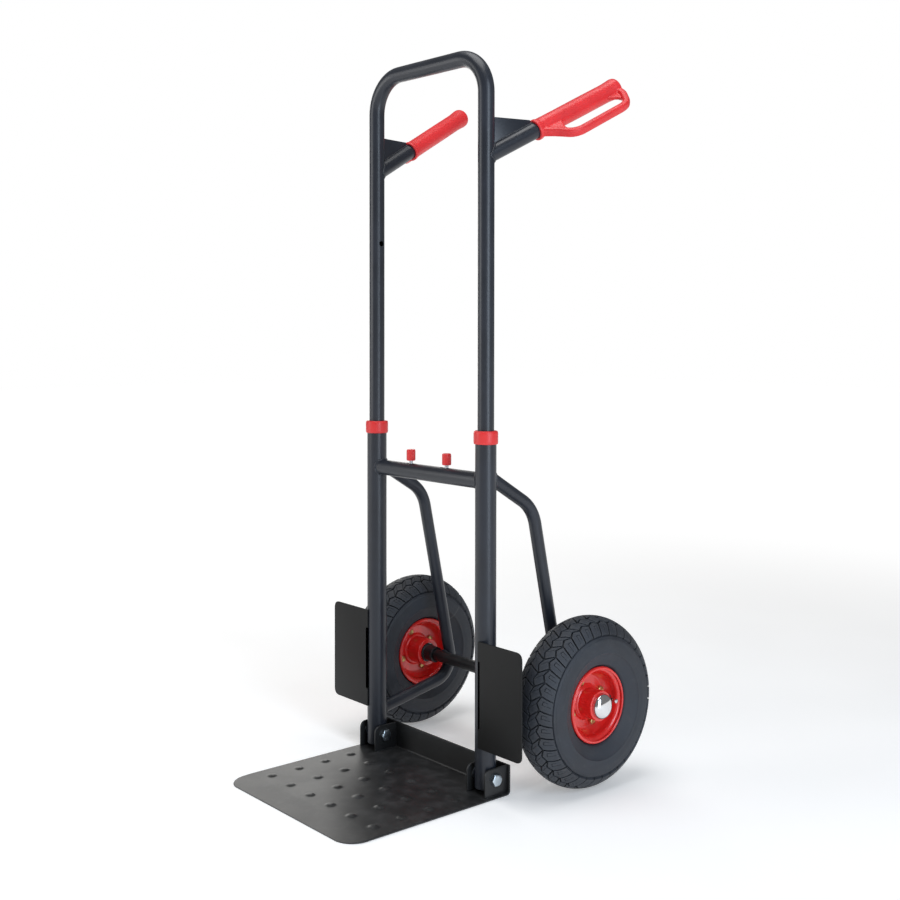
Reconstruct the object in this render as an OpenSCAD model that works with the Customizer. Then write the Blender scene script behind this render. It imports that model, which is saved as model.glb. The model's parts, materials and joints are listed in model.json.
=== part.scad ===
// Hand truck with a telescopic push frame, a folding toe plate and air-filled wheels.
// +X is to the right seen from the front, the toe plate points to -Y, the floor is z = 0.

/* [Frame] */
// Distance between the centre lines of the two uprights
upright_spacing = 262; // [220:1:320]
// Outside diameter of the uprights
upright_d = 32; // [30:0.5:38]
// Wall thickness of the uprights
upright_wall = 2; // [1.5:0.1:2.5]
// Height of the upper end of the uprights
upright_top = 540; // [500:1:640]
// Gap between the uprights' lower ends and the toe plate as it folds past them
foot_gap = 1.655; // [1:0.005:3]
// Outside diameter of the crossbar
crossbar_d = 25; // [22:0.5:28]
// Wall thickness of the crossbar
crossbar_wall = 2; // [1.5:0.1:2.5]
// Height of the crossbar's centre line
crossbar_z = 470; // [440:1:500]

/* [Braces] */
// Outside diameter of the rear braces
brace_d = 20; // [18:0.5:24]
// Wall thickness of the rear braces
brace_wall = 1.5; // [1.2:0.1:2.5]
// Angle of the upper leg below the horizontal
brace_upper_tilt = 31; // [20:1:40]
// Angle of the middle leg away from the vertical
brace_middle_lean = 12.2; // [8:0.1:16]
// Angle of the lower leg above the horizontal
brace_lower_tilt = 11; // [5:1:20]
// Height at which the lower leg meets the upright's centre line
brace_low_z = 64; // [60:1:90]
// Bend radius of the upper corner
brace_upper_r = 60; // [45:1:80]
// Bend radius of the lower corner
brace_lower_r = 40; // [35:1:50]

/* [Axle] */
// Diameter of the axle
axle_d = 20; // [16:0.5:22]
// Wall thickness of the spacer tubes
spacer_wall = 3.5; // [2:0.5:5]
// Outside diameter of the chrome axle caps
axle_cap_d = 38; // [32:1:42]
// Height of the axle caps' dome
axle_cap_h = 11.5; // [8:0.5:14]
// Side play between a wheel hub and its neighbours
hub_play = 0.5; // [0.3:0.1:1]

/* [Wheels] */
// Outside diameter of the tyres
tyre_d = 260; // [240:1:280]
// Width of the tyres
tyre_w = 82; // [70:1:90]
// Wall thickness of the tyres
tyre_wall = 6; // [4:0.5:8]
// Gap between the tyres and the outer sides of the uprights
tyre_gap = 12.5; // [10:0.5:40]
// Distance of the tyres' front behind the uprights' centre lines
tyre_setback = 11; // [5:1:40]
// Diameter of the seat that the tyre's bead rests on
bead_seat_d = 102; // [98:0.5:104]
// Thickness of the rim's steel sheet
rim_sheet = 2.4; // [1.5:0.1:3]
// Wall thickness of the hub tube around the bearings
hub_wall = 2; // [1.5:0.1:4]
// Length of the hub tube on the outer side of the middle plane
hub_out = 34; // [30:0.5:38]
// Length of the hub tube on the inner side of the middle plane
hub_in = 36; // [30:0.5:38]
// Outside diameter of the ball bearings
bearing_d = 42; // [40:0.5:42]
// Width of the ball bearings
bearing_w = 12; // [10:0.5:14]
// Radius of the circle of rim bolts
rim_bolt_circle_r = 34; // [33:0.5:36]
// Diameter of the rim bolts
rim_bolt_d = 6; // [5:0.5:8]

/* [Wheel guards] */
// Width of the guard plates
guard_w = 92; // [80:1:110]
// Height of the guard plates' lower edge
guard_low = 73; // [60:1:90]
// Height of the guard plates' upper edge
guard_high = 233; // [210:1:260]
// Thickness of the guard plates
guard_t = 2.5; // [2:0.1:3]
// Corner radius of the guard plates
guard_r = 12; // [6:1:20]

/* [Push frame] */
// Gap between the push frame's tube and the uprights' bore, which the collars fill
slide_gap = 1.5; // [1:0.1:3]
// Wall thickness of the push frame's tube
inner_wall = 2; // [1.5:0.1:2.5]
// Height of the top of the push frame, drawn out
overall_h = 1120; // [1060:1:1300]
// Bend radius of the push frame's corners
inner_bend_r = 58; // [45:1:80]
// How far the push frame slides down
travel = 368; // [300:1:380]
// Height of the lower end of the push frame, drawn out
inner_foot = 440; // [425:1:450]
// Height of the red collars above the uprights' upper ends
collar_lip = 6; // [4:0.5:10]
// Length of the collars' skirt around the uprights
collar_skirt = 14; // [10:1:24]
// Wall thickness of the collars' skirt
collar_wall = 2.5; // [2:0.1:4]

/* [Handles] */
// Distance of the handle tubes' roots below the top of the push frame
handle_drop = 165.5; // [120:0.5:220]
// Angle of the handles above the horizontal
handle_tilt = 27.3; // [15:0.1:35]
// Angle at which the handles splay outwards
handle_splay = 12; // [0:0.5:15]
// Distance along the handle to the start of the grip
grip_start = 96.5; // [80:0.5:120]
// Length of the grips
grip_l = 172; // [150:1:190]
// Wall thickness of the grips
grip_wall = 2.5; // [1.5:0.1:4]
// Distance of the knuckle guard's bar from the grip's centre line
knuckle_offset = 53; // [45:1:60]
// Thickness of the knuckle guard's bar
knuckle_t = 11; // [9:0.5:14]
// Width of the knuckle guard's bar
knuckle_w = 14; // [12:0.5:18]
// Turn of the knuckle guard below the horizontal
knuckle_turn = 30; // [0:1:90]

/* [Latches] */
// Distance of the latch buttons from the middle plane
button_x = 43; // [40:1:60]
// Diameter of the latch buttons
button_d = 14.5; // [12:0.5:18]
// Height of the latch buttons
button_h = 18; // [14:0.5:24]
// Gap between the crossbar and the buttons
button_gap = 4.5; // [3:0.5:6]
// Diameter of the lock pins
pin_d = 8; // [6:0.5:9]
// How far a button moves inwards to free the push frame
latch_in = 10; // [8:0.5:12]
// How far a pin moves outwards into the push frame
latch_out = 6; // [5:0.5:7]

/* [Toe plate] */
// How far the toe plate reaches past the outer sides of the uprights
toe_overhang = 10; // [8:0.5:40]
// Distance of the toe plate's front edge from the uprights' centre lines
toe_front = 277; // [220:1:320]
// Thickness of the toe plate
toe_t = 3; // [2.5:0.1:4]
// Radius of the toe plate's front corners
toe_corner_r = 32; // [20:1:45]
// Depth of the thinned strip along the front edge
toe_lip = 45; // [30:1:60]
// Height of the rear flange
flange_h = 45; // [42:1:60]
// Height of the hinge pins
pivot_z = 28; // [28:0.5:30]
// Diameter of the hinge bolts
pivot_d = 10; // [8:0.5:12]
// Thickness of the hinge washers
washer_t = 1.9; // [1.5:0.1:2.5]
// Pitch of the raised dimples
dimple_pitch = 51; // [45:1:52]
// Height of the raised dimples
dimple_h = 1.8; // [1:0.1:2]

/* [Fits] */
// Radial clearance of a running fit
fit = 0.05; // [0.03:0.01:0.08]
// Gap between the axle and the braces, which the weld fills
weld_gap = 0.8; // [0.6:0.1:1.5]
// Gap between curved faces that pass each other
pass_gap = 0.4; // [0.3:0.05:0.6]

/* [Hidden] */
$fn = 64;
upright_x = upright_spacing / 2;
upright_r = upright_d / 2;
upright_bore_r = upright_r - upright_wall;
inner_r = upright_bore_r - slide_gap;
brace_r = brace_d / 2;
axle_r = axle_d / 2;
pin_r = pin_d / 2;
pivot_r = pivot_d / 2;
tyre_r = tyre_d / 2;
bead_r = bead_seat_d / 2;
axle_z = tyre_r;
axle_y = tyre_r + tyre_setback;
wheel_x = upright_x + upright_r + tyre_gap + tyre_w / 2;
spacer_r = axle_r + spacer_wall;
collar_r = upright_r + collar_wall;
grip_r = inner_r + grip_wall;
handle_z = overall_h - handle_drop;
toe_w = upright_spacing + 2 * (upright_r + toe_overhang);
// The toe plate's face swings about the hinge pin just below the corners of the uprights' feet.
swing_r = pivot_z - toe_t - foot_gap;
upright_foot = pivot_z - sqrt(swing_r * swing_r - upright_r * upright_r);
// The push frame's second pair of lock holes comes level with the pins when it is pushed down.
low_hole_z = crossbar_z;
high_hole_z = crossbar_z + travel;
lock_hole_r = pin_r + 0.6;
top_bar_z = overall_h - inner_r;
slide_bush_h = 24;
collar_spigot = 28;

// The middle leg passes close behind the axle, with room for the weld between them.
brace_axle_gap = (axle_r + brace_r + weld_gap) / cos(brace_middle_lean);
brace_low_corner = leg_cross(0, brace_low_z, brace_lower_tilt);
brace_top_z = crossbar_z + 10.5;
brace_high_corner = leg_cross(0, brace_top_z, -brace_upper_tilt);
bend_lap = 0.3;
bend_thinning = 0.02;

washer_r = 10;
ear_t = 3;
ear_gap = upright_r + fit + washer_t;
ear_front = upright_r + 4;
flange_y = ear_front + 4.5;
bolt_head_h = 6.4;
bolt_flats = 17;
nut_h = 8;

hub_bore_r = bearing_d / 2;
hub_r = hub_bore_r + hub_wall;
disc_x = rim_sheet / 2;
step_x = 4.5;
bolt_turn = 22.5;
rim_bolt_flats = 10;
cap_x = wheel_x + hub_out + hub_play;
axle_half = cap_x + 4;
spacer_outer = wheel_x - hub_in - hub_play;
spacer_inner = upright_x + brace_r + 1;

bush_in = button_x + latch_out + 7;
bush_out = bush_in + 6;
pin_collar_in = bush_out + 22;
pin_collar_t = 4;
pin_collar_r = pin_r + 3;
pin_tip = upright_x - inner_r - pass_gap;
stem_r = 3;
slot_r = stem_r + 0.3;
button_low = crossbar_z + crossbar_d / 2 + button_gap;

grip_bore_r = inner_r;
grip_end = grip_start + grip_l;
gusset_t = 3;
gusset_h = 59.5;

valve_r = 3.5;
valve_x = 9;
valve_circle_r = 37;
valve_l = 17;
valve_cap_h = 6;
valve_bore_r = 1.5;
// The middle of the tyre's section, where it is widest, lies at least half way out from the bead, and
// the inner tube fills the room that the section's width and depth leave.
section_half_w = (tyre_w - tyre_wall) / 2;
crown_r = tyre_r - tyre_wall / 2;
section_r = max(crown_r - section_half_w, (crown_r + bead_r) / 2);
air_gap = 3;
air_r = min(section_half_w - tyre_wall / 2 - air_gap, section_r - bead_r - tyre_wall - 1);

// Where the brace's middle leg crosses a leg that starts at (y, z) with the given rise.
function leg_cross(y, z, rise) =
    let (lean = tan(brace_middle_lean))
    let (foot_y = axle_y + brace_axle_gap + lean * axle_z)
    let (zc = (z + tan(rise) * (foot_y - y)) / (1 + tan(rise) * lean))
    [foot_y - lean * zc, zc];

// Unit vector and left normal of a step in the plane.
function unit(v) = v / norm(v);
function normal(v) = [-v[1], v[0]];

// The path's normal at one of its points, half way between its two neighbours' steps.
function path_normal(p, i) =
    let (a = p[max(i - 1, 0)])
    let (b = p[min(i + 1, len(p) - 1)])
    normal(unit(b - a));

// A closed outline of even thickness t along an open path p.
function ribbon(p, t) = concat(
    [for (i = [0 : len(p) - 1]) p[i] + path_normal(p, i) * t / 2],
    [for (i = [len(p) - 1 : -1 : 0]) p[i] - path_normal(p, i) * t / 2]
);

// Points of an ellipse quarter or arc from angle a0 to a1 about a centre.
function arc(c, rx, ry, a0, a1, n) =
    [for (i = [0 : n]) let (a = a0 + (a1 - a0) * i / n) c + [rx * cos(a), ry * sin(a)]];

// Turns a shape drawn along Z so that it lies along X, at the given place.
module along_x(x, y, z) {
    translate([x, y, z]) rotate([0, 90, 0]) children();
}

// Draws a right-hand shape on the right, or its mirror image on the left.
module on_side(side) {
    if (side > 0) {
        children();
    } else {
        mirror([1, 0, 0]) children();
    }
}

module tube(r, wall, l) {
    difference() {
        cylinder(h = l, r = r);
        translate([0, 0, -1]) cylinder(h = l + 2, r = r - wall);
    }
}

// A quarter or other part of a bent tube: the bend's centre is the origin, in the XY plane.
module tube_bend(bend_r, r, wall, start, turn) {
    rotate_extrude(angle = turn, start = start) translate([bend_r, 0]) difference() {
        circle(r);
        circle(r - wall);
    }
}

module hexagon(flats, h) {
    cylinder(h = h, r = flats / 2 / cos(30), $fn = 6);
}

// ---- Frame ----

module upright(side) {
    color("#26292f") on_side(side) translate([upright_x, 0, 0]) difference() {
        translate([0, 0, upright_foot]) tube(upright_r, upright_wall, upright_top - upright_foot);
        along_x(-upright_d, 0, pivot_z) cylinder(h = 2 * upright_d, r = pivot_r + fit);
        along_x(-upright_d, 0, crossbar_z) cylinder(h = upright_d, r = pin_r + 2 * fit);
    }
}

module crossbar() {
    color("#1d1f22") difference() {
        along_x(-upright_x, 0, crossbar_z) tube(crossbar_d / 2, crossbar_wall, upright_spacing);
        for (side = [-1, 1]) {
            translate([side * upright_x, 0, 0]) cylinder(h = upright_top, r = upright_r);
            on_side(side) latch_slot();
        }
    }
}

// The slot in the crossbar's top that a button's stem moves along.
module latch_slot() {
    slot_from = button_x - latch_in;
    slot_to = button_x + latch_out;
    for (x = [slot_from, slot_to]) {
        translate([x, 0, crossbar_z]) cylinder(h = crossbar_d, r = slot_r);
    }
    translate([slot_from, -slot_r, crossbar_z]) cube([slot_to - slot_from, 2 * slot_r, crossbar_d]);
}

// A brace is drawn in a plane whose X is the truck's +Y and whose Y is the truck's +Z. Its bends are
// a hair thinner than its straight legs, which reach a little way over them.
module brace_rod(r) {
    upper_turn = 90 - brace_middle_lean - brace_upper_tilt;
    lower_turn = 90 + brace_middle_lean - brace_lower_tilt;
    upper_cut = brace_upper_r * tan(upper_turn / 2);
    lower_cut = brace_lower_r * tan(lower_turn / 2);
    upper_l = norm(brace_high_corner - [0, brace_top_z]) - upper_cut;
    middle_l = norm(brace_high_corner - brace_low_corner) - upper_cut - lower_cut;
    lower_l = norm(brace_low_corner - [0, brace_low_z]) - lower_cut;
    translate([0, brace_top_z, 0]) rotate([0, 0, -brace_upper_tilt]) {
        leg(r, 0, upper_l + bend_lap);
        translate([upper_l, -brace_upper_r, 0]) {
            rod_bend(brace_upper_r, r, 90 - upper_turn, upper_turn);
            rotate([0, 0, -upper_turn]) translate([0, brace_upper_r, 0]) {
                leg(r, -bend_lap, middle_l + bend_lap);
                translate([middle_l, -brace_lower_r, 0]) {
                    rod_bend(brace_lower_r, r, 90 - lower_turn, lower_turn);
                    rotate([0, 0, -lower_turn]) translate([0, brace_lower_r, 0]) leg(r, -bend_lap, lower_l);
                }
            }
        }
    }
}

module leg(r, from, to) {
    translate([from, 0, 0]) rotate([0, 90, 0]) cylinder(h = to - from, r = r);
}

module rod_bend(bend_r, r, start, turn) {
    rotate_extrude(angle = turn, start = start) translate([bend_r, 0]) circle(r - bend_thinning);
}

module brace(side) {
    color("#1b1c1f") difference() {
        translate([side * upright_x, 0, 0]) rotate([90, 0, 90]) difference() {
            brace_rod(brace_r);
            brace_rod(brace_r - brace_wall);
        }
        translate([side * upright_x, 0, 0]) cylinder(h = upright_top, r = upright_r);
    }
}

module axle() {
    color("#17181a") along_x(-axle_half, axle_y, axle_z) cylinder(h = 2 * axle_half, r = axle_r);
}

module axle_spacer(side) {
    color("#151618") on_side(side) along_x(spacer_inner, axle_y, axle_z) difference() {
        union() {
            cylinder(h = spacer_outer - spacer_inner, r = spacer_r);
            translate([0, 0, spacer_outer - spacer_inner - 2]) cylinder(h = 2, r = spacer_r + 2);
        }
        translate([0, 0, -1]) cylinder(h = spacer_outer, r = axle_r);
    }
}

// A domed cap pressed over the end of the axle.
module axle_cap(side) {
    cap_r = axle_cap_d / 2;
    rim_h = 1.5;
    curve = arc([0, rim_h], cap_r, axle_cap_h - rim_h, 80, 0, 10);
    dome = concat([[0, axle_cap_h]], curve, [[cap_r, 0], [0, 0]]);
    color("#d8dadd") on_side(side) along_x(cap_x, axle_y, axle_z) difference() {
        rotate_extrude() polygon(dome);
        translate([0, 0, -1]) cylinder(h = axle_half - cap_x + 1, r = axle_r);
    }
}

// A flat plate in front of the upright, with two tabs that are welded to the tube.
module wheel_guard(side) {
    tab = 30;
    inner_x = upright_x + 2;
    outer_x = inner_x + guard_w;
    color("#1f2022") on_side(side) difference() {
        translate([0, -upright_r + 0.2, 0]) rotate([90, 0, 0]) linear_extrude(guard_t) difference() {
            union() {
                translate([inner_x, guard_low]) square([guard_w - guard_r, guard_high - guard_low]);
                translate([inner_x, guard_low + guard_r])
                    square([guard_w, guard_high - guard_low - 2 * guard_r]);
                for (z = [guard_low + guard_r, guard_high - guard_r]) {
                    translate([outer_x - guard_r, z]) circle(guard_r);
                }
            }
            translate([inner_x - 1, guard_low + tab]) square([5, guard_high - guard_low - 2 * tab]);
        }
        translate([upright_x, 0, 0]) cylinder(h = upright_top, r = upright_r);
    }
}

// A red bush: its lip and spigot guide the push frame, its skirt sits over the upright.
module collar(side) {
    color("#e83d3f") translate([side * upright_x, 0, upright_top]) difference() {
        union() {
            translate([0, 0, -collar_skirt])
                cylinder(h = collar_skirt + collar_lip, r1 = collar_r - 0.4, r2 = collar_r);
            translate([0, 0, -collar_spigot]) cylinder(h = collar_spigot, r = upright_bore_r);
        }
        translate([0, 0, -collar_spigot - 1]) cylinder(h = collar_spigot + collar_lip + 2, r = inner_r + fit);
        translate([0, 0, -collar_skirt - 1]) difference() {
            cylinder(h = collar_skirt + 1, r = upright_r);
            translate([0, 0, -1]) cylinder(h = collar_skirt + 3, r = upright_bore_r);
        }
    }
}

// A plastic bush inside the crossbar that carries the lock pin and the spring's inner end.
module latch_bush(side) {
    color("#2b2d30") on_side(side) along_x(bush_in, 0, crossbar_z) difference() {
        cylinder(h = bush_out - bush_in, r = crossbar_d / 2 - crossbar_wall);
        translate([0, 0, -1]) cylinder(h = bush_out - bush_in + 2, r = pin_r + 2 * fit);
    }
}

// ---- Latches ----

module latch_pin(side) {
    pin_start = button_x - 7;
    color("#b9bcc0") on_side(side) {
        along_x(pin_start, 0, crossbar_z) cylinder(h = pin_tip - pin_start, r = pin_r);
        along_x(pin_collar_in, 0, crossbar_z) cylinder(h = pin_collar_t, r = pin_collar_r);
        translate([button_x, 0, crossbar_z]) cylinder(h = button_low - crossbar_z + 10, r = stem_r);
    }
}

module latch_button(side) {
    color("#e83d3f") translate([side * button_x, 0, button_low]) difference() {
        union() {
            cylinder(h = button_h - 1, r = button_d / 2);
            cylinder(h = button_h, r = button_d / 2 - 1);
        }
        translate([0, 0, -1]) cylinder(h = 11, r = stem_r);
    }
}

// A coil spring between the bush and the pin's collar, swept as one closed skin.
module latch_spring(side) {
    turns = 6;
    steps = 14;
    sides = 8;
    wire_r = 0.6;
    coil_r = pin_r + 1.8;
    gap = 0.2;
    run = pin_collar_in - bush_out - 2 * (wire_r + gap);
    rings = turns * steps;
    points = [
        for (i = [0 : rings], j = [0 : sides - 1])
            let (a = 360 * i / steps, b = 360 * j / sides)
            let (r = coil_r + wire_r * cos(b))
            [r * cos(a), r * sin(a), run * i / rings + wire_r * sin(b)]
    ];
    skin = [
        for (i = [0 : rings - 1], j = [0 : sides - 1])
            let (k = (j + 1) % sides)
            [i * sides + j, (i + 1) * sides + j, (i + 1) * sides + k, i * sides + k]
    ];
    ends = [[for (j = [0 : sides - 1]) j], [for (j = [sides - 1 : -1 : 0]) rings * sides + j]];
    color("#9a9da1") on_side(side) along_x(bush_out + wire_r + gap, 0, crossbar_z)
        polyhedron(points, concat(skin, ends));
}

// ---- Push frame ----

module push_frame() {
    leg_l = top_bar_z - inner_bend_r - inner_foot;
    bar_l = upright_spacing - 2 * inner_bend_r;
    color("#30343c") difference() {
        union() {
            for (side = [-1, 1]) {
                translate([side * upright_x, 0, inner_foot]) tube(inner_r, inner_wall, leg_l);
                on_side(side) translate([upright_x - inner_bend_r, 0, top_bar_z - inner_bend_r])
                    rotate([90, 0, 0]) tube_bend(inner_bend_r, inner_r, inner_wall, 0, 90);
            }
            along_x(-bar_l / 2, 0, top_bar_z) tube(inner_r, inner_wall, bar_l);
        }
        for (z = [low_hole_z, high_hole_z]) {
            along_x(-upright_x, 0, z) cylinder(h = upright_spacing, r = lock_hole_r);
        }
    }
}

// Draws along a handle's centre line: Z runs from the push frame out to the handle's end.
module on_handle(side) {
    on_side(side) translate([upright_x, 0, handle_z])
        rotate([0, 0, -handle_splay]) rotate([-90 + handle_tilt, 0, 0]) children();
}

module handle_tube(side) {
    color("#272a30") difference() {
        on_handle(side) tube(inner_r, inner_wall, grip_end - 4);
        translate([side * upright_x, 0, handle_z - 100]) cylinder(h = 200, r = inner_r + fit);
    }
}

// A flat triangle between the push frame and the top of the handle tube.
module gusset(side) {
    reach = gusset_h / tan(handle_tilt);
    corners = [[0, 0], [0, gusset_h], [reach - 20, gusset_h], [reach, gusset_h - 6]];
    color("#2a2d34") difference() {
        on_side(side) translate([upright_x, 0, handle_z]) rotate([0, 0, -handle_splay]) rotate([90, 0, 90])
            linear_extrude(gusset_t, center = true) polygon(corners);
        translate([side * upright_x, 0, handle_z - 100]) cylinder(h = 200, r = inner_r);
        on_handle(side) {
            cylinder(h = grip_end, r = inner_r);
            // clear of the grip's ring
            translate([0, 0, grip_start - 1]) cylinder(h = grip_l, r = 4 * grip_r);
        }
    }
}

// The grip's sleeve with a ring at its start, a bulb at its end and a knuckle guard beside it.
module grip(side) {
    ring_h = 7;
    bar_from = 34;
    bar_to = 146;
    half = grip_r;
    loop = [[4, half - 5], [20, half + 14], [bar_from, knuckle_offset - 5], [bar_from + 10, knuckle_offset],
        [bar_to - 8, knuckle_offset - 2], [bar_to + 8, knuckle_offset - 14], [grip_l - 8, half - 5]];
    color("#ef4145") on_handle(side) translate([0, 0, grip_start]) difference() {
        union() {
            cylinder(h = grip_l, r = half);
            cylinder(h = ring_h, r = half + 1.5);
            translate([0, 0, grip_l - 16]) cylinder(h = 10, r1 = half, r2 = half + 1.5);
            translate([0, 0, grip_l - 6]) cylinder(h = 6, r1 = half + 1.5, r2 = half - 1);
            rotate([-90, -90, knuckle_turn]) linear_extrude(knuckle_w, center = true)
                polygon(ribbon(loop, knuckle_t));
        }
        translate([0, 0, -1]) cylinder(h = grip_l - 3, r = grip_bore_r);
    }
}

// A plastic plug on the foot of each push frame leg, which slides inside the upright.
module slide_bush(side) {
    color("#2b2d30") translate([side * upright_x, 0, inner_foot]) difference() {
        union() {
            translate([0, 0, -8]) cylinder(h = 8, r = upright_bore_r - fit);
            cylinder(h = slide_bush_h - 8, r = inner_r - inner_wall);
        }
        translate([0, 0, -9]) cylinder(h = slide_bush_h + 2, r = inner_r - inner_wall - 2);
    }
}

// ---- Wheels, drawn about the axle with X pointing out of the truck ----

module in_wheel(side) {
    on_side(side) along_x(wheel_x, axle_y, axle_z) children();
}

module tyre(side) {
    half_w = section_half_w;
    wide_r = section_r;
    // the wall leaves the rim's lip at this distance from the middle plane
    flare_x = 25.427;
    bead = [[bead_r + tyre_wall / 2 + 0.1, 14], [bead_r + tyre_wall / 2 + 0.4, 18.3], [bead_r + 8, 21]];
    low = arc([wide_r, 0], wide_r - bead_r - tyre_wall, half_w, 180 - asin(flare_x / half_w), 90, 6);
    high = arc([wide_r, 0], crown_r - wide_r, half_w, 80, 0, 8);
    half = concat(bead, low, high);
    flip = [for (i = [len(half) - 2 : -1 : 0]) [half[i][0], -half[i][1]]];
    color("#2b3038") in_wheel(side) rotate_extrude($fn = 96) polygon(ribbon(concat(half, flip), tyre_wall));
}

module inner_tube(side) {
    wall = 1.5;
    color("#1c1d1f") in_wheel(side) difference() {
        rotate_extrude($fn = 96) translate([section_r, 0]) difference() {
            circle(air_r, $fn = 40);
            circle(air_r - wall, $fn = 40);
        }
        translate([0, 0, valve_x]) rotate([-90, 0, 0]) cylinder(h = section_r, r = valve_bore_r);
    }
}

// One pressed half of the rim. The outer half has the valve's hole.
module rim_half(side, out) {
    // the flat ring that the bolt heads and nuts seat on
    head_r = rim_bolt_flats / 2 / cos(30) + 1;
    flat_in = rim_bolt_circle_r - head_r;
    flat_out = rim_bolt_circle_r + head_r;
    path = [
        [hub_r - 0.5, step_x], [flat_in - 1.8, step_x], [flat_in, disc_x], [flat_out, disc_x],
        [flat_out + 4, 4.5], [bead_r - 3.5, 8.5], [bead_r - disc_x, 13],
        [bead_r - disc_x, 20.5], [bead_r + 1, 24], [bead_r + 5, 25.2], [bead_r + 6.6, 26.8]
    ];
    color("#d0202c") in_wheel(side) mirror([0, 0, out > 0 ? 0 : 1]) difference() {
        rotate_extrude($fn = 96) polygon(ribbon(path, rim_sheet));
        rim_bolt_places() translate([0, 0, -1]) cylinder(h = 12, r = rim_bolt_d / 2 + fit);
        if (out > 0) {
            translate([0, 0, valve_x]) rotate([-90, 0, 0]) cylinder(h = bead_seat_d, r = valve_r + 0.3);
        }
        cylinder(h = 60, r = hub_r, center = true);
    }
}

module rim_bolt_places() {
    for (i = [0 : 3]) {
        rotate([0, 0, bolt_turn + 90 * i]) translate([rim_bolt_circle_r, 0, 0]) children();
    }
}

module hub(side) {
    color("#c81f2a") in_wheel(side) difference() {
        translate([0, 0, -hub_in]) cylinder(h = hub_in + hub_out, r = hub_r);
        translate([0, 0, -hub_in - 1]) cylinder(h = bearing_w + 1, r = hub_bore_r);
        translate([0, 0, hub_out - bearing_w]) cylinder(h = bearing_w + 1, r = hub_bore_r);
        translate([0, 0, -hub_in]) cylinder(h = hub_in + hub_out, r = hub_bore_r - 2);
    }
}

module bearings(side) {
    color("#8d9196") in_wheel(side) for (z = [-hub_in, hub_out - bearing_w]) {
        translate([0, 0, z]) difference() {
            cylinder(h = bearing_w, r = hub_bore_r);
            translate([0, 0, -1]) cylinder(h = bearing_w + 2, r = axle_r + fit);
        }
    }
}

module rim_bolts(side) {
    color("#b98f4a") in_wheel(side) rim_bolt_places() {
        translate([0, 0, -rim_sheet - 4]) hexagon(rim_bolt_flats, 4);
        translate([0, 0, -rim_sheet]) cylinder(h = 2 * rim_sheet + 7, r = rim_bolt_d / 2);
    }
}

module rim_nuts(side) {
    color("#b98f4a") in_wheel(side) rim_bolt_places() translate([0, 0, rim_sheet]) difference() {
        hexagon(rim_bolt_flats, 5);
        translate([0, 0, -1]) cylinder(h = 7, r = rim_bolt_d / 2);
    }
}

// A rubber valve that leaves the inner tube, passes the rim and turns outwards.
module valve(side) {
    root_r = section_r - air_r + 1;
    color("#141517") in_wheel(side) difference() {
        union() {
            translate([0, valve_circle_r, valve_x]) {
                rotate([-90, 0, 0]) cylinder(h = root_r - valve_circle_r, r = valve_r);
                sphere(valve_r, $fn = 32);
                cylinder(h = valve_l, r = valve_r);
            }
        }
        rotate_extrude($fn = 96) translate([section_r, 0]) circle(air_r, $fn = 40);
    }
}

module valve_cap(side) {
    color("#c4c7ca") in_wheel(side) translate([0, valve_circle_r, valve_x + valve_l]) {
        cylinder(h = valve_cap_h, r = valve_r);
        translate([0, 0, valve_cap_h]) cylinder(h = 1, r1 = valve_r, r2 = valve_r - 1);
    }
}

// ---- Toe plate ----

module toe_plate() {
    mid = toe_t / 2;
    bend_r = 3 + mid;
    rear = flange_y + mid;
    section = concat(
        [[-toe_front, mid]],
        arc([rear - bend_r, mid + bend_r], bend_r, bend_r, -90, 0, 6),
        [[rear, flange_h]]
    );
    half = toe_w / 2;
    color("#17181b") difference() {
        union() {
            intersection() {
                translate([-half, 0, 0]) rotate([90, 0, 90]) linear_extrude(toe_w)
                    polygon(ribbon(section, toe_t));
                toe_outline(flange_h + 1);
            }
            intersection() {
                toe_outline(toe_t + dimple_h);
                dimples();
            }
        }
        // the front strip is thinned towards its edge
        translate([-half - 1, -toe_front + toe_lip, toe_t]) rotate([2.5, 0, 0])
            translate([0, -2 * toe_lip, 0]) cube([toe_w + 2, 2 * toe_lip, toe_t]);
    }
}

module toe_outline(h) {
    half = toe_w / 2;
    linear_extrude(h) union() {
        translate([-half, -toe_front + toe_corner_r])
            square([toe_w, toe_front + 2 * ear_front - toe_corner_r]);
        translate([-half + toe_corner_r, -toe_front]) square([toe_w - 2 * toe_corner_r, toe_corner_r]);
        for (x = [-half + toe_corner_r, half - toe_corner_r]) {
            translate([x, -toe_front + toe_corner_r]) circle(toe_corner_r);
        }
    }
}

module dimples() {
    first_y = -ear_front - 38;
    rows = floor((toe_front - toe_lip + first_y - 10) / dimple_pitch) + 1;
    columns = floor((toe_w - 40) / dimple_pitch) + 1;
    sink = 0.5;
    for (i = [0 : columns - 1], j = [0 : rows - 1]) {
        x = (i - (columns - 1) / 2) * dimple_pitch;
        translate([x, first_y - j * dimple_pitch, toe_t - sink])
            cylinder(h = dimple_h + sink, r1 = 9, r2 = 5, $fn = 32);
    }
}

// Two ears that stand on the toe plate against its flange, one each side of an upright's foot.
module hinge_ears(side) {
    top_r = 12;
    ear_top = flange_h - 1;
    ear_l = ear_front + flange_y;
    color("#1a1b1f") on_side(side) for (x = [upright_x - ear_gap - ear_t, upright_x + ear_gap]) {
        translate([x, 0, 0]) rotate([90, 0, 90]) linear_extrude(ear_t) difference() {
            union() {
                translate([-ear_front, toe_t]) square([ear_l, ear_top - toe_t - top_r]);
                translate([-ear_front + top_r, toe_t]) square([ear_l - top_r, ear_top - toe_t]);
                translate([-ear_front + top_r, ear_top - top_r]) circle(top_r);
            }
            translate([0, pivot_z]) circle(pivot_r);
            // clear of the bend at the root of the flange
            translate([flange_y, toe_t]) circle(4);
        }
    }
}

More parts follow.
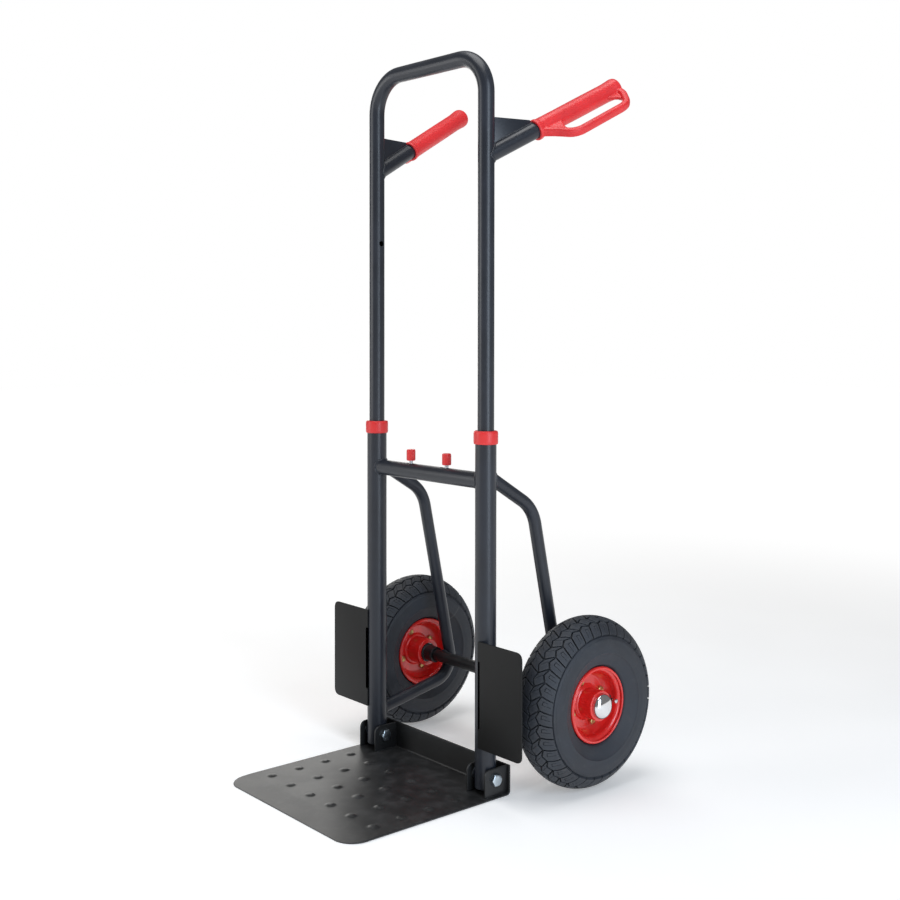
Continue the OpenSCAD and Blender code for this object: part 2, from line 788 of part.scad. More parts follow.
module pivot_bolts() {
    ear_out = ear_gap + ear_t;
    color("#c3d2dc") for (x = [-upright_x, upright_x]) {
        along_x(x + ear_out, 0, pivot_z) hexagon(bolt_flats, bolt_head_h);
        along_x(x - ear_out - nut_h - 1, 0, pivot_z) cylinder(h = 2 * ear_out + nut_h + 1, r = pivot_r);
    }
}

module pivot_nuts() {
    ear_out = ear_gap + ear_t;
    color("#c3d2dc") for (x = [-upright_x, upright_x]) {
        along_x(x - ear_out - nut_h, 0, pivot_z) difference() {
            hexagon(bolt_flats, nut_h);
            translate([0, 0, -1]) cylinder(h = nut_h + 2, r = pivot_r);
        }
    }
}

// Thin washers that keep the upright's foot central between its ears.
module pivot_washers() {
    color("#b9bcc0") for (x = [-upright_x, upright_x], low = [-ear_gap, ear_gap - washer_t]) {
        along_x(x + low, 0, pivot_z) difference() {
            cylinder(h = washer_t, r = washer_r);
            translate([0, 0, -1]) cylinder(h = washer_t + 2, r = pivot_r);
        }
    }
}

upright(-1);  // left_upright
upright(1);  // right_upright
crossbar();
brace(-1);  // left_brace
brace(1);  // right_brace
axle();
axle_spacer(-1);  // left_axle_spacer
axle_spacer(1);  // right_axle_spacer
axle_cap(-1);  // left_axle_cap
axle_cap(1);  // right_axle_cap
wheel_guard(-1);  // left_wheel_guard
wheel_guard(1);  // right_wheel_guard
collar(-1);  // left_collar
collar(1);  // right_collar
latch_bush(-1);  // left_latch_bush
latch_bush(1);  // right_latch_bush
latch_pin(-1);  // left_latch_pin
latch_pin(1);  // right_latch_pin
latch_button(-1);  // left_latch_button
latch_button(1);  // right_latch_button
latch_spring(-1);  // left_latch_spring
latch_spring(1);  // right_latch_spring
push_frame();
handle_tube(-1);  // left_handle_tube
handle_tube(1);  // right_handle_tube
gusset(-1);  // left_gusset
gusset(1);  // right_gusset
grip(-1);  // left_grip
grip(1);  // right_grip
slide_bush(-1);  // left_slide_bush
slide_bush(1);  // right_slide_bush
tyre(-1);  // left_tyre
tyre(1);  // right_tyre
inner_tube(-1);  // left_inner_tube
inner_tube(1);  // right_inner_tube
rim_half(-1, 1);  // left_rim_outer
rim_half(1, 1);  // right_rim_outer
rim_half(-1, -1);  // left_rim_inner
rim_half(1, -1);  // right_rim_inner
hub(-1);  // left_hub
hub(1);  // right_hub
bearings(-1);  // left_bearings
bearings(1);  // right_bearings
rim_bolts(-1);  // left_rim_bolts
rim_bolts(1);  // right_rim_bolts
rim_nuts(-1);  // left_rim_nuts
rim_nuts(1);  // right_rim_nuts
valve(-1);  // left_valve
valve(1);  // right_valve
valve_cap(-1);  // left_valve_cap
valve_cap(1);  // right_valve_cap
toe_plate();
hinge_ears(-1);  // left_hinge_ears
hinge_ears(1);  // right_hinge_ears
pivot_bolts();
pivot_nuts();
pivot_washers();
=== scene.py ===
"""Looks of a hand truck with a telescopic push frame, a folding toe plate and air-filled wheels.

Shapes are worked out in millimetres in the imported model's frame and become meshes in metres: +X is
to the right seen from the front, the toe plate points to -Y, and the floor is z = 0. Right-hand
pieces are worked out first, and a left-hand piece is the same shape with its X turned round.
"""

import json
import logging
import math
from dataclasses import dataclass, field
from enum import Enum
from typing import Mapping, Sequence

import bmesh
import bpy
import numpy as np
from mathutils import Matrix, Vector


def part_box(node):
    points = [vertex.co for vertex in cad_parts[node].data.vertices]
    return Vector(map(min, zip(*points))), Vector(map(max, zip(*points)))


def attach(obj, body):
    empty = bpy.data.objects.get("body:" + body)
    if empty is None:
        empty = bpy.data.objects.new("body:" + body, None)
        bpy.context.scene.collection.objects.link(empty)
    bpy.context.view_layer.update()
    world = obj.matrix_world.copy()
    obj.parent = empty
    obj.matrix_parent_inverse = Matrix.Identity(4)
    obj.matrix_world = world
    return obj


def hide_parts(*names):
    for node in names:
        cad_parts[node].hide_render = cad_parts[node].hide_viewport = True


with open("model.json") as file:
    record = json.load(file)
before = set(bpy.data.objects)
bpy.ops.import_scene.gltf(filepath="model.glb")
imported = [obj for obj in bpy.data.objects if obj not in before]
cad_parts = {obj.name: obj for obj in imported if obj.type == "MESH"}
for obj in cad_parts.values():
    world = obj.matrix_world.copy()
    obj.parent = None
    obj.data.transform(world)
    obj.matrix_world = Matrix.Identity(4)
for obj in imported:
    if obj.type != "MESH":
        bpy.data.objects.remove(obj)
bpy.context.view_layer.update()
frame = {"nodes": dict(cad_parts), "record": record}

Array = np.ndarray
Colour = tuple[float, float, float]
MM = 0.001
log = logging.getLogger("hand_truck")


class Side(Enum):
    """The two sides of the truck, with the sign of X on each."""

    LEFT = -1
    RIGHT = 1

    def node(self, part: str) -> str:
        """Returns the name of a part on this side."""
        return f"{self.name.lower()}_{part}"


# ---------------------------------------------------------------- shapes


@dataclass
class Skin:
    """Points and faces of one closed surface, in millimetres.

    points is an (n, 3) array, quads an (m, 4) array of point numbers, and caps holds the flat end
    faces with more corners.
    """

    points: Array
    quads: Array
    caps: list[Array] = field(default_factory=list)


@dataclass(frozen=True)
class Place:
    """An origin and two directions that say where a shape's own X, Y and Z go."""

    origin: tuple[float, float, float]
    z_to: tuple[float, float, float] = (0.0, 0.0, 1.0)
    x_to: tuple[float, float, float] = (1.0, 0.0, 0.0)

    def put(self, points: Array) -> Array:
        """Moves points from the shape's own axes to the truck's.

        Args:
            points: an array whose last axis holds x, y and z.

        Returns:
            origin + x X + y (Z x X) + z Z for each point.
        """
        z = unit(np.array(self.z_to, float))
        x = unit(np.array(self.x_to, float) - z * np.dot(self.x_to, z))
        return np.array(self.origin) + points @ np.stack([x, np.cross(z, x), z])


def unit(v: Array) -> Array:
    """Returns the vectors along the last axis at length one."""
    return v / np.maximum(np.linalg.norm(v, axis=-1, keepdims=True), 1e-12)


def woven(grid: Array, round_rows: bool = False, round_columns: bool = False) -> Skin:
    """Joins a grid of points into four-sided faces.

    Args:
        grid: points in rows and columns, shape (rows, columns, 3).
        round_rows: whether the last row joins the first.
        round_columns: whether the last column joins the first.

    Returns:
        The skin: face (i, j) has the corners (i, j), (i + 1, j), (i + 1, j + 1) and (i, j + 1).
    """
    rows, columns = grid.shape[:2]
    i = np.arange(rows if round_rows else rows - 1)[:, None]
    j = np.arange(columns if round_columns else columns - 1)[None, :]
    below, right = (i + 1) % rows, (j + 1) % columns
    corners = [i * columns + j, below * columns + j, below * columns + right, i * columns + right]
    return Skin(grid.reshape(-1, 3), np.stack(corners, -1).reshape(-1, 4))


def soften(points: Array, radius: float | Array, steps: int = 4, closed: bool = False) -> Array:
    """Rounds the corners of a line of points.

    Args:
        points: the corners, shape (n, 2) or (n, 3).
        radius: how far from a corner its rounding starts, one value or one for each corner.
        steps: points that replace a corner.
        closed: whether the line comes back to its start.

    Returns:
        The line with each corner P replaced by (1-t)^2 A + 2t(1-t) P + t^2 B, where A and B lie at
        the radius, or at just under half the side, on the two sides that meet in P.
    """
    into, out = np.roll(points, 1, 0) - points, np.roll(points, -1, 0) - points
    short = np.minimum(np.linalg.norm(into, axis=1), np.linalg.norm(out, axis=1))
    cut = np.minimum(radius, 0.48 * short)[:, None]
    a, b = points + unit(into) * cut, points + unit(out) * cut
    t = np.linspace(0, 1, steps)[None, :, None]
    arcs = (1 - t) ** 2 * a[:, None] + 2 * t * (1 - t) * points[:, None] + t * t * b[:, None]
    if closed:
        return arcs.reshape(-1, points.shape[1])
    inner = arcs[1:-1].reshape(-1, points.shape[1])
    return np.concatenate([points[:1], inner, points[-1:]])


def lathe(profile: Array, place: Place, steps: int = 72, closed: bool = False) -> Skin:
    """Turns a profile round the place's Z.

    Args:
        profile: (radius, height) pairs, from pole to pole or closed on itself.
        place: where the axis stands.
        steps: how many times the profile is repeated round the axis.
        closed: whether the profile's end joins its start.

    Returns:
        The skin of (r cos t, r sin t, h) for t from 0 to a full turn.
    """
    turn = np.linspace(0, 2 * np.pi, steps, endpoint=False)[:, None]
    r, h = profile[None, :, 0], profile[None, :, 1]
    grid = np.stack([r * np.cos(turn), r * np.sin(turn), h + 0 * turn], -1)
    return woven(place.put(grid), round_rows=True, round_columns=closed)


def ring(radius: float, steps: int = 16, flat: float = 2.0, wide: float = 1.0) -> Array:
    """Returns a closed section |x/w|^n + |y|^n = r^n, round for flat = 2 and boxier above it."""
    t = np.linspace(0, 2 * np.pi, steps, endpoint=False)
    c, s = np.cos(t), np.sin(t)
    x, y = (np.sign(v) * np.abs(v) ** (2 / flat) for v in (c, s))
    return radius * np.stack([wide * x, y], -1)


def sweep(path: Array, section: Array, up: Array, closed: bool = False, scale: Array | None = None) -> Skin:
    """Carries a section along a path.

    Args:
        path: points, shape (n, 3).
        section: a closed outline, shape (m, 2): its x lies across the path and its y towards up.
        up: one direction, or one for each point, that isn't along the path.
        closed: whether the path comes back to its start.
        scale: a factor on the section at each point.

    Returns:
        The skin of P + x S + y (T x S), with T the path's direction and S = up x T. An open path's
        ends are drawn together into a point.
    """
    step = np.roll(path, -1, 0) - np.roll(path, 1, 0) if closed else np.gradient(path, axis=0)
    along = unit(step)
    across = unit(np.cross(np.broadcast_to(up, path.shape), along))
    over = np.cross(along, across)
    size = np.ones(len(path)) if scale is None else scale
    x = size[:, None, None] * section[None, :, :1]
    y = size[:, None, None] * section[None, :, 1:]
    grid = path[:, None] + x * across[:, None] + y * over[:, None]
    if not closed:
        ends = [np.repeat(grid[k].mean(0)[None], len(section), 0)[None] for k in (0, -1)]
        grid = np.concatenate([ends[0], grid, ends[1]])
    return woven(grid, round_rows=closed, round_columns=True)


def outward(outline: Array) -> Array:
    """Returns the normals of a closed outline that runs anticlockwise, one at each corner."""
    step = np.roll(outline, -1, 0) - np.roll(outline, 1, 0)
    return unit(np.stack([step[:, 1], -step[:, 0]], -1))


def plate(outline: Array, thick: float, edge: float, place: Place) -> Skin:
    """Cuts a flat plate with rounded edges.

    Args:
        outline: a closed anticlockwise outline, shape (n, 2).
        thick: the plate's thickness, from z = 0 up.
        edge: radius of its edges.
        place: where the outline's axes go.

    Returns:
        Loops O - e (1 - sin t) N at heights that follow e (1 - cos t), and two flat caps.
    """
    t = np.linspace(0, np.pi / 2, 4)
    inset = edge * (1 - np.sin(t))
    low = edge * (1 - np.cos(t))
    inset = np.concatenate([inset, inset[::-1]])
    height = np.concatenate([low, thick - low[::-1]])
    flat = outline[None] - inset[:, None, None] * outward(outline)[None]
    grid = np.concatenate([flat, np.broadcast_to(height[:, None, None], flat.shape[:2] + (1,))], -1)
    skin = woven(place.put(grid), round_columns=True)
    n = len(outline)
    last = (len(height) - 1) * n
    skin.caps = [np.arange(n)[::-1], last + np.arange(n)]
    return skin


def strip(path: Array, thick: float) -> Array:
    """Gives an open line an even thickness.

    Args:
        path: (x, y) points.
        thick: the sheet's thickness.

    Returns:
        The closed outline P + t/2 N, then back along P - t/2 N, with a half round at each end.
    """
    step = unit(np.gradient(path, axis=0))
    normal = np.stack([-step[:, 1], step[:, 0]], -1)
    half = thick / 2
    a = np.linspace(0, np.pi, 6)[1:-1, None]
    end = path[-1] + half * (np.cos(a) * normal[-1] + np.sin(a) * step[-1])
    start = path[0] - half * (np.cos(a) * normal[0] + np.sin(a) * step[0])
    return np.concatenate([path + half * normal, end, (path - half * normal)[::-1], start])


def hexagon(place: Place, flats: float, height: float, chamfer: float = 0.7) -> Skin:
    """Forges a bolt's head or a nut with chamfered corners.

    Args:
        place: its underside's middle and axis.
        flats: distance across the flats.
        height: its height.
        chamfer: how far the corners are turned down.

    Returns:
        The skin of radius min(f / 2 cos(t mod 60), cone(z)) at each turn t and height z.
    """
    t = np.linspace(0, 2 * np.pi, 72, endpoint=False)[:, None]
    hexed = flats / 2 / np.cos((t + np.pi / 6) % (np.pi / 3) - np.pi / 6)
    shank, crown = np.linspace(0.25, height - 1.6, 3), np.linspace(height - 1.4, height, 7)
    z = np.concatenate([[0, 0], shank, crown, [height]])
    half = flats / 2
    limit = np.interp(z, [0, 0.25, height - 1.4, height], [half + 0.2, 99, half + 1.6, half - chamfer])
    limit[0] = limit[-1] = 0
    limit[1] = flats / 2
    r = np.minimum(hexed, limit[None])
    return woven(place.put(np.stack([r * np.cos(t), r * np.sin(t), z[None] + 0 * t], -1)), round_rows=True)


def threaded(place: Place, radius: float, start: float, end: float, pitch: float = 1.25) -> Skin:
    """Turns a rod's end with rings that stand for its thread.

    Args:
        place: the rod's axis.
        radius: over the crests.
        start: height of its root.
        end: height of its chamfered tip.
        pitch: distance between crests.

    Returns:
        The lathe of r - d |2 frac(z / pitch) - 1| with a cone at the tip.
    """
    z = np.arange(start, end - 1, pitch / 2)
    r = radius - 0.35 * (np.arange(len(z)) % 2)
    profile = np.concatenate([[[0, start]], np.stack([r, z], -1), [[radius - 1, end], [0, end]]])
    return lathe(profile, place, 32)


def saddle(start: Array, along: Array, radius: float, post: Array, post_r: float, steps: int = 72) -> Array:
    """Works out the line on which a round tube meets a vertical post.

    Args:
        start: a point on the tube's axis.
        along: the tube's direction, towards the post.
        radius: the tube's radius.
        post: x and y of the post's axis.
        post_r: the post's radius.
        steps: points on the line.

    Returns:
        Points P + k D, where P goes round the tube at its radius and k is the smaller root of
        |P + k D - post| = post_r, seen from above.
    """
    d = unit(along)
    side = unit(np.cross(d, [0.0, 0.0, 1.0]))
    t = np.linspace(0, 2 * np.pi, steps, endpoint=False)[:, None]
    p = start + radius * (np.cos(t) * side + np.sin(t) * np.cross(side, d))
    q = p[:, :2] - post
    a, b, c = d[:2] @ d[:2], q @ d[:2], (q * q).sum(1) - post_r**2
    k = (-b - np.sqrt(np.maximum(b * b - a * c, 0))) / a
    return p + k[:, None] * d


def bead(path: Array, up: Array, size: float = 1.9, closed: bool = True) -> Skin:
    """Lays a weld bead along a line.

    Args:
        path: the joint's line.
        up: a direction that isn't along it.
        size: the bead's radius.
        closed: whether the line comes back to its start.

    Returns:
        A round bead whose radius swells by s (1 + 0.13 |sin|) from ripple to ripple.
    """
    step = np.linalg.norm(np.diff(path, axis=0), axis=1)
    run = np.concatenate([[0], np.cumsum(step)])
    count = max(24, int(run[-1] / 0.45))
    at = np.linspace(0, run[-1], count)
    line = np.stack([np.interp(at, run, path[:, k]) for k in range(3)], -1)
    ripple = size * (0.93 + 0.16 * np.abs(np.sin(at * np.pi / 2.2)))
    if not closed:
        ripple = ripple * np.clip(np.sin(np.pi * np.linspace(0.06, 0.94, count)) * 3, 0, 1)
    return sweep(line, ring(1.0, 10), up, closed, ripple)


# ---------------------------------------------------------------- finishes


class Value:
    """A number or socket of one material, on which sums add Math nodes."""

    def __init__(self, board: "Board", source: "bpy.types.NodeSocket | float") -> None:
        """Keeps the material's board and the number or socket."""
        self.board = board
        self.source = source

    def math(self, operation: str, *others: "Value | float", clamp: bool = False) -> "Value":
        """Adds one Math node.

        Args:
            operation: Blender's name for the sum.
            others: what goes into the node's other sockets.
            clamp: whether the result is held between 0 and 1.

        Returns:
            The node's result.
        """
        ins = dict(enumerate((self, *others)))
        node = self.board.node("ShaderNodeMath", {"operation": operation, "use_clamp": clamp}, ins)
        return Value(self.board, node.outputs[0])

    def __add__(self, other: "Value | float") -> "Value":
        """Returns self + other."""
        return self.math("ADD", other)

    def __sub__(self, other: "Value | float") -> "Value":
        """Returns self - other."""
        return self.math("SUBTRACT", other)

    def __mul__(self, other: "Value | float") -> "Value":
        """Returns self * other."""
        return self.math("MULTIPLY", other)

    def __rsub__(self, other: float) -> "Value":
        """Returns other - self."""
        return Value(self.board, other).math("SUBTRACT", self)

    __radd__ = __add__
    __rmul__ = __mul__

    def between(self, low: float, high: float, to_low: float = 0.0, to_high: float = 1.0) -> "Value":
        """Carries the range low to high smoothly over to another range.

        Args:
            low: value that becomes to_low.
            high: value that becomes to_high.
            to_low: first end of the new range.
            to_high: other end of the new range.

        Returns:
            The carried value, held inside the new range.
        """
        settings = {"interpolation_type": "SMOOTHSTEP"}
        ins = {"Value": self, "From Min": low, "From Max": high, "To Min": to_low, "To Max": to_high}
        return Value(self.board, self.board.node("ShaderNodeMapRange", settings, ins).outputs[0])


class Board:
    """The node tree of one material, with its shader and its object coordinates."""

    def __init__(self, name: str) -> None:
        """Makes an empty material with a shader and its output."""
        self.material = bpy.data.materials.new(name)
        self.material.use_nodes = True
        self.tree = self.material.node_tree
        self.tree.nodes.clear()
        self.shader = self.node("ShaderNodeBsdfPrincipled")
        self.node("ShaderNodeOutputMaterial", inputs={"Surface": self.shader.outputs[0]})
        self.place = self.node("ShaderNodeTexCoord").outputs["Object"]

    def node(
        self,
        kind: str,
        settings: Mapping[str, object] | None = None,
        inputs: Mapping[str | int, object] | None = None,
    ) -> bpy.types.Node:
        """Adds a node.

        Args:
            kind: the node's type.
            settings: its own settings, set first.
            inputs: numbers, colours, sockets or Values for its sockets, by name or number.

        Returns:
            The node.
        """
        node = self.tree.nodes.new(kind)
        for key, value in (settings or {}).items():
            setattr(node, key, value)
        for key, value in (inputs or {}).items():
            plain = value.source if isinstance(value, Value) else value
            if isinstance(plain, bpy.types.NodeSocket):
                self.tree.links.new(plain, node.inputs[key])
            else:
                node.inputs[key].default_value = plain
        return node

    def noise(
        self, scale: float, detail: float = 3.0, rough: float = 0.5, stretch: Colour | None = None
    ) -> Value:
        """Adds noise on the object coordinates.

        Args:
            scale: spots per metre.
            detail: how many finer layers it has.
            rough: how strong the finer layers are.
            stretch: factors on x, y and z before the noise.

        Returns:
            The noise, about 0.25 to 0.75.
        """
        where: object = self.place
        if stretch is not None:
            where = self.node("ShaderNodeMapping", None, {"Vector": self.place, "Scale": stretch}).outputs[0]
        ins = {"Vector": where, "Scale": scale, "Detail": detail, "Roughness": rough}
        return Value(self, self.node("ShaderNodeTexNoise", {"noise_dimensions": "3D"}, ins).outputs["Fac"])

    def cells(self, scale: float, feature: str = "F1") -> Value:
        """Adds a cell pattern and returns the distance to the cells' middles or borders."""
        ins = {"Vector": self.place, "Scale": scale}
        return Value(self, self.node("ShaderNodeTexVoronoi", {"feature": feature}, ins).outputs["Distance"])

    def axis(self, name: str) -> Value:
        """Returns the object coordinate X, Y or Z in metres."""
        return Value(self, self.node("ShaderNodeSeparateXYZ", None, {0: self.place}).outputs[name])

    def facing_up(self) -> Value:
        """Returns how far the surface faces up, from 0 on walls to 1 on level faces."""
        normal = self.node("ShaderNodeNewGeometry").outputs["Normal"]
        z = Value(self, self.node("ShaderNodeSeparateXYZ", None, {0: normal}).outputs["Z"])
        return z.math("MAXIMUM", 0.0)

    def edge_by_pointiness(self, low: float = 0.52, high: float = 0.6) -> Value:
        """Returns 1 along the outer edges of a finely meshed piece and 0 elsewhere."""
        sharp = Value(self, self.node("ShaderNodeNewGeometry").outputs["Pointiness"])
        return sharp.between(low, high)

    def near_edge(self, radius: float) -> Value:
        """Returns how far the surface bends within a radius, 0 on flat and gently round faces."""
        eased = self.node("ShaderNodeBevel", {"samples": 4}, {"Radius": radius}).outputs[0]
        true = self.node("ShaderNodeNewGeometry").outputs["Normal"]
        dot = self.node("ShaderNodeVectorMath", {"operation": "DOT_PRODUCT"}, {0: eased, 1: true})
        return (1.0 - Value(self, dot.outputs["Value"])).between(0.03, 0.25)

    def blend(self, amount: Value, first: object, second: object) -> bpy.types.NodeSocket:
        """Mixes two colours.

        Args:
            amount: 0 for the first, 1 for the second.
            first: a colour or socket.
            second: a colour or socket.

        Returns:
            The mixed colour's socket.
        """
        ends = [(*c, 1.0) if isinstance(c, tuple) else c for c in (first, second)]
        ins = {0: amount, 6: ends[0], 7: ends[1]}
        return self.node("ShaderNodeMix", {"data_type": "RGBA"}, ins).outputs[2]

    def bumps(self, height: Value, depth: float, strength: float = 1.0) -> None:
        """Raises the surface by height times depth metres, in the shading only."""
        ins = {"Height": height, "Distance": depth, "Strength": strength}
        self.set({"Normal": self.node("ShaderNodeBump", None, ins).outputs[0]})

    def set(self, values: Mapping[str, object]) -> None:
        """Puts numbers, colours or sockets on the shader's own sockets."""
        for key, value in values.items():
            plain = value.source if isinstance(value, Value) else value
            if isinstance(plain, bpy.types.NodeSocket):
                self.tree.links.new(plain, self.shader.inputs[key])
            elif isinstance(plain, tuple):
                self.shader.inputs[key].default_value = (*plain, 1.0)
            else:
                self.shader.inputs[key].default_value = plain


@dataclass(frozen=True)
class PowderCoat:
    """Baked powder paint: a fine orange peel, a faint mottle, dust on top faces and rubbed edges."""

    name: str
    colour: Colour
    light: Colour
    roughness: float = 0.4
    peel: float = 900.0
    depth: float = 0.00006
    dust: float = 0.25
    rub: float = 0.5
    gloss: float = 0.5

    def made(self) -> bpy.types.Material:
        """Builds the material."""
        b = Board(self.name)
        peel = b.noise(self.peel, 2.0)
        mottle = b.noise(14.0, 4.0).between(0.35, 0.7)
        scuff = b.noise(60.0, 5.0, 0.7, (1.0, 1.0, 0.12)).between(0.62, 0.78)
        dust = b.facing_up() * b.noise(45.0, 5.0, 0.65).between(0.4, 0.75) * self.dust
        edge = b.near_edge(0.0009) * b.noise(220.0, 3.0).between(0.35, 0.6)
        painted = b.blend(mottle, self.colour, self.light)
        dusty = b.blend(dust, painted, (0.16, 0.16, 0.165))
        rubbed = tuple(min(1.0, 2.6 * c + 0.03) for c in self.light)
        b.set({"Base Color": b.blend(edge * self.rub, dusty, rubbed)})
        b.set({"Roughness": self.roughness + 0.04 * mottle + 0.06 * scuff + 0.2 * dust})
        b.set({"Specular IOR Level": self.gloss})
        b.bumps(peel + 0.4 * b.noise(2600.0, 1.0), self.depth, 0.3)
        return b.material


@dataclass(frozen=True)
class Enamel:
    """Glossy sprayed enamel on pressed steel, with painted shade that darkens its hollows and patches of grime
    in them.
    """

    name: str
    colour: Colour
    deep: Colour
    roughness: float = 0.22

    def made(self) -> bpy.types.Material:
        """Builds the material."""
        b = Board(self.name)
        wave = b.noise(35.0, 2.0)
        tint = b.noise(18.0, 3.0).between(0.35, 0.7)
        # Painted shade: the concave places, found by pointiness, are painted in the darker deep red; grime is
        # laid in them too.
        hollow_shade_and_grime_mask = 1.0 - b.edge_by_pointiness(0.44, 0.5)
        paint = b.blend(tint * 0.5 + hollow_shade_and_grime_mask * 0.35, self.colour, self.deep)
        # Grime: patches of dirt in the hollows that darken them further, partly real dirt and partly painted
        # shade.
        grime_and_hollow_shade = b.noise(90.0, 5.0, 0.7).between(0.6, 0.78) * hollow_shade_and_grime_mask
        b.set({"Base Color": b.blend(grime_and_hollow_shade * 0.35, paint, (0.05, 0.008, 0.008))})
        b.set({"Roughness": self.roughness + 0.1 * tint + 0.2 * grime_and_hollow_shade})
        b.set({"Coat Weight": 0.6, "Coat Roughness": 0.08, "Specular IOR Level": 0.5})
        b.bumps(wave + 0.25 * b.noise(700.0, 2.0), 0.00035, 0.35)
        return b.material


@dataclass(frozen=True)
class Moulded:
    """Moulded plastic or soft vinyl: pebbled skin, a little bloom, and dirt where hands rub."""

    name: str
    colour: Colour
    deep: Colour
    roughness: float = 0.42
    pebble: float = 1500.0
    depth: float = 0.00008
    soil: float = 0.12
    flesh: float = 0.0

    def made(self) -> bpy.types.Material:
        """Builds the material."""
        b = Board(self.name)
        tint = b.noise(22.0, 3.0).between(0.35, 0.7)
        soil = b.noise(140.0, 5.0, 0.7).between(0.55, 0.8) * self.soil
        shaded = tuple(c * 0.35 for c in self.deep)
        b.set({"Base Color": b.blend(soil, b.blend(tint, self.colour, self.deep), shaded)})
        b.set({"Roughness": self.roughness + 0.08 * tint + 0.15 * b.noise(400.0, 3.0).between(0.4, 0.7)})
        b.set({"Subsurface Weight": self.flesh, "Subsurface Scale": 0.002, "Specular IOR Level": 0.45})
        b.bumps(b.cells(self.pebble) + 0.5 * b.noise(self.pebble * 0.6, 2.0), self.depth, 0.4)
        return b.material


@dataclass(frozen=True)
class Rubber:
    """Tyre rubber: fine mould grain, a bluish bloom, paler dust on tread faces and in the grooves."""

    name: str
    colour: Colour
    bloom: Colour
    dust: Colour = (0.085, 0.085, 0.085)
    roughness: float = 0.55

    def made(self) -> bpy.types.Material:
        """Builds the material."""
        b = Board(self.name)
        cloud = b.noise(16.0, 4.0).between(0.35, 0.68)
        dust = b.noise(70.0, 6.0, 0.7).between(0.5, 0.8)
        edge = b.edge_by_pointiness(0.51, 0.58)
        dark = b.blend(cloud, self.colour, self.bloom)
        b.set({"Base Color": b.blend(dust * 0.35 + edge * 0.3, dark, self.dust)})
        b.set({"Roughness": self.roughness + 0.12 * cloud + 0.12 * dust})
        b.set({"Specular IOR Level": 0.5})
        b.bumps(b.noise(1100.0, 3.0) + 0.6 * b.noise(260.0, 4.0, 0.6), 0.00012, 0.5)
        return b.material


@dataclass(frozen=True)
class Plated:
    """Plated or bare metal: a soft uneven shine, fine brushing and a breath of tarnish."""

    name: str
    colour: Colour
    tarnish: Colour
    roughness: float = 0.2
    brushed: Colour = (1.0, 1.0, 1.0)
    mark: float = 0.3

    def made(self) -> bpy.types.Material:
        """Builds the material."""
        b = Board(self.name)
        cloud = b.noise(90.0, 4.0, 0.6).between(0.45, 0.75)
        brush = b.noise(900.0, 3.0, 0.6, self.brushed)
        b.set({"Base Color": b.blend(cloud * self.mark, self.colour, self.tarnish)})
        b.set({"Metallic": 1.0, "Roughness": self.roughness + 0.12 * cloud + 0.08 * brush})
        b.bumps(brush + 0.6 * b.noise(300.0, 3.0), 0.00003, 0.4)
        return b.material


@dataclass(frozen=True)
class Floor:
    """A plain pale floor with a trace of grain. It glows faintly near the truck, a painted light that lifts it
    and its shadows towards white, and glows an even white far away from the truck.
    """

    name: str = "pale_floor"

    def made(self) -> bpy.types.Material:
        """Builds the material."""
        b = Board(self.name)
        grain = b.noise(3.0, 4.0).between(0.3, 0.7)
        x, y = b.axis("X"), b.axis("Y")
        far = (x * x + y * y).math("SQRT").between(0.7, 2.6)
        near = b.blend(grain, (0.90, 0.90, 0.90), (0.93, 0.93, 0.93))
        b.set({"Base Color": b.blend(far, near, (0.0, 0.0, 0.0))})
        # Painted light: the floor glows at 0.25 near the truck, rising to full white far away.
        b.set({"Emission Color": b.blend(far, (0.25, 0.25, 0.25), (1.0, 1.0, 1.0)), "Emission Strength": 1.0})
        b.set({"Roughness": 0.8, "Specular IOR Level": 0.1})
        return b.material


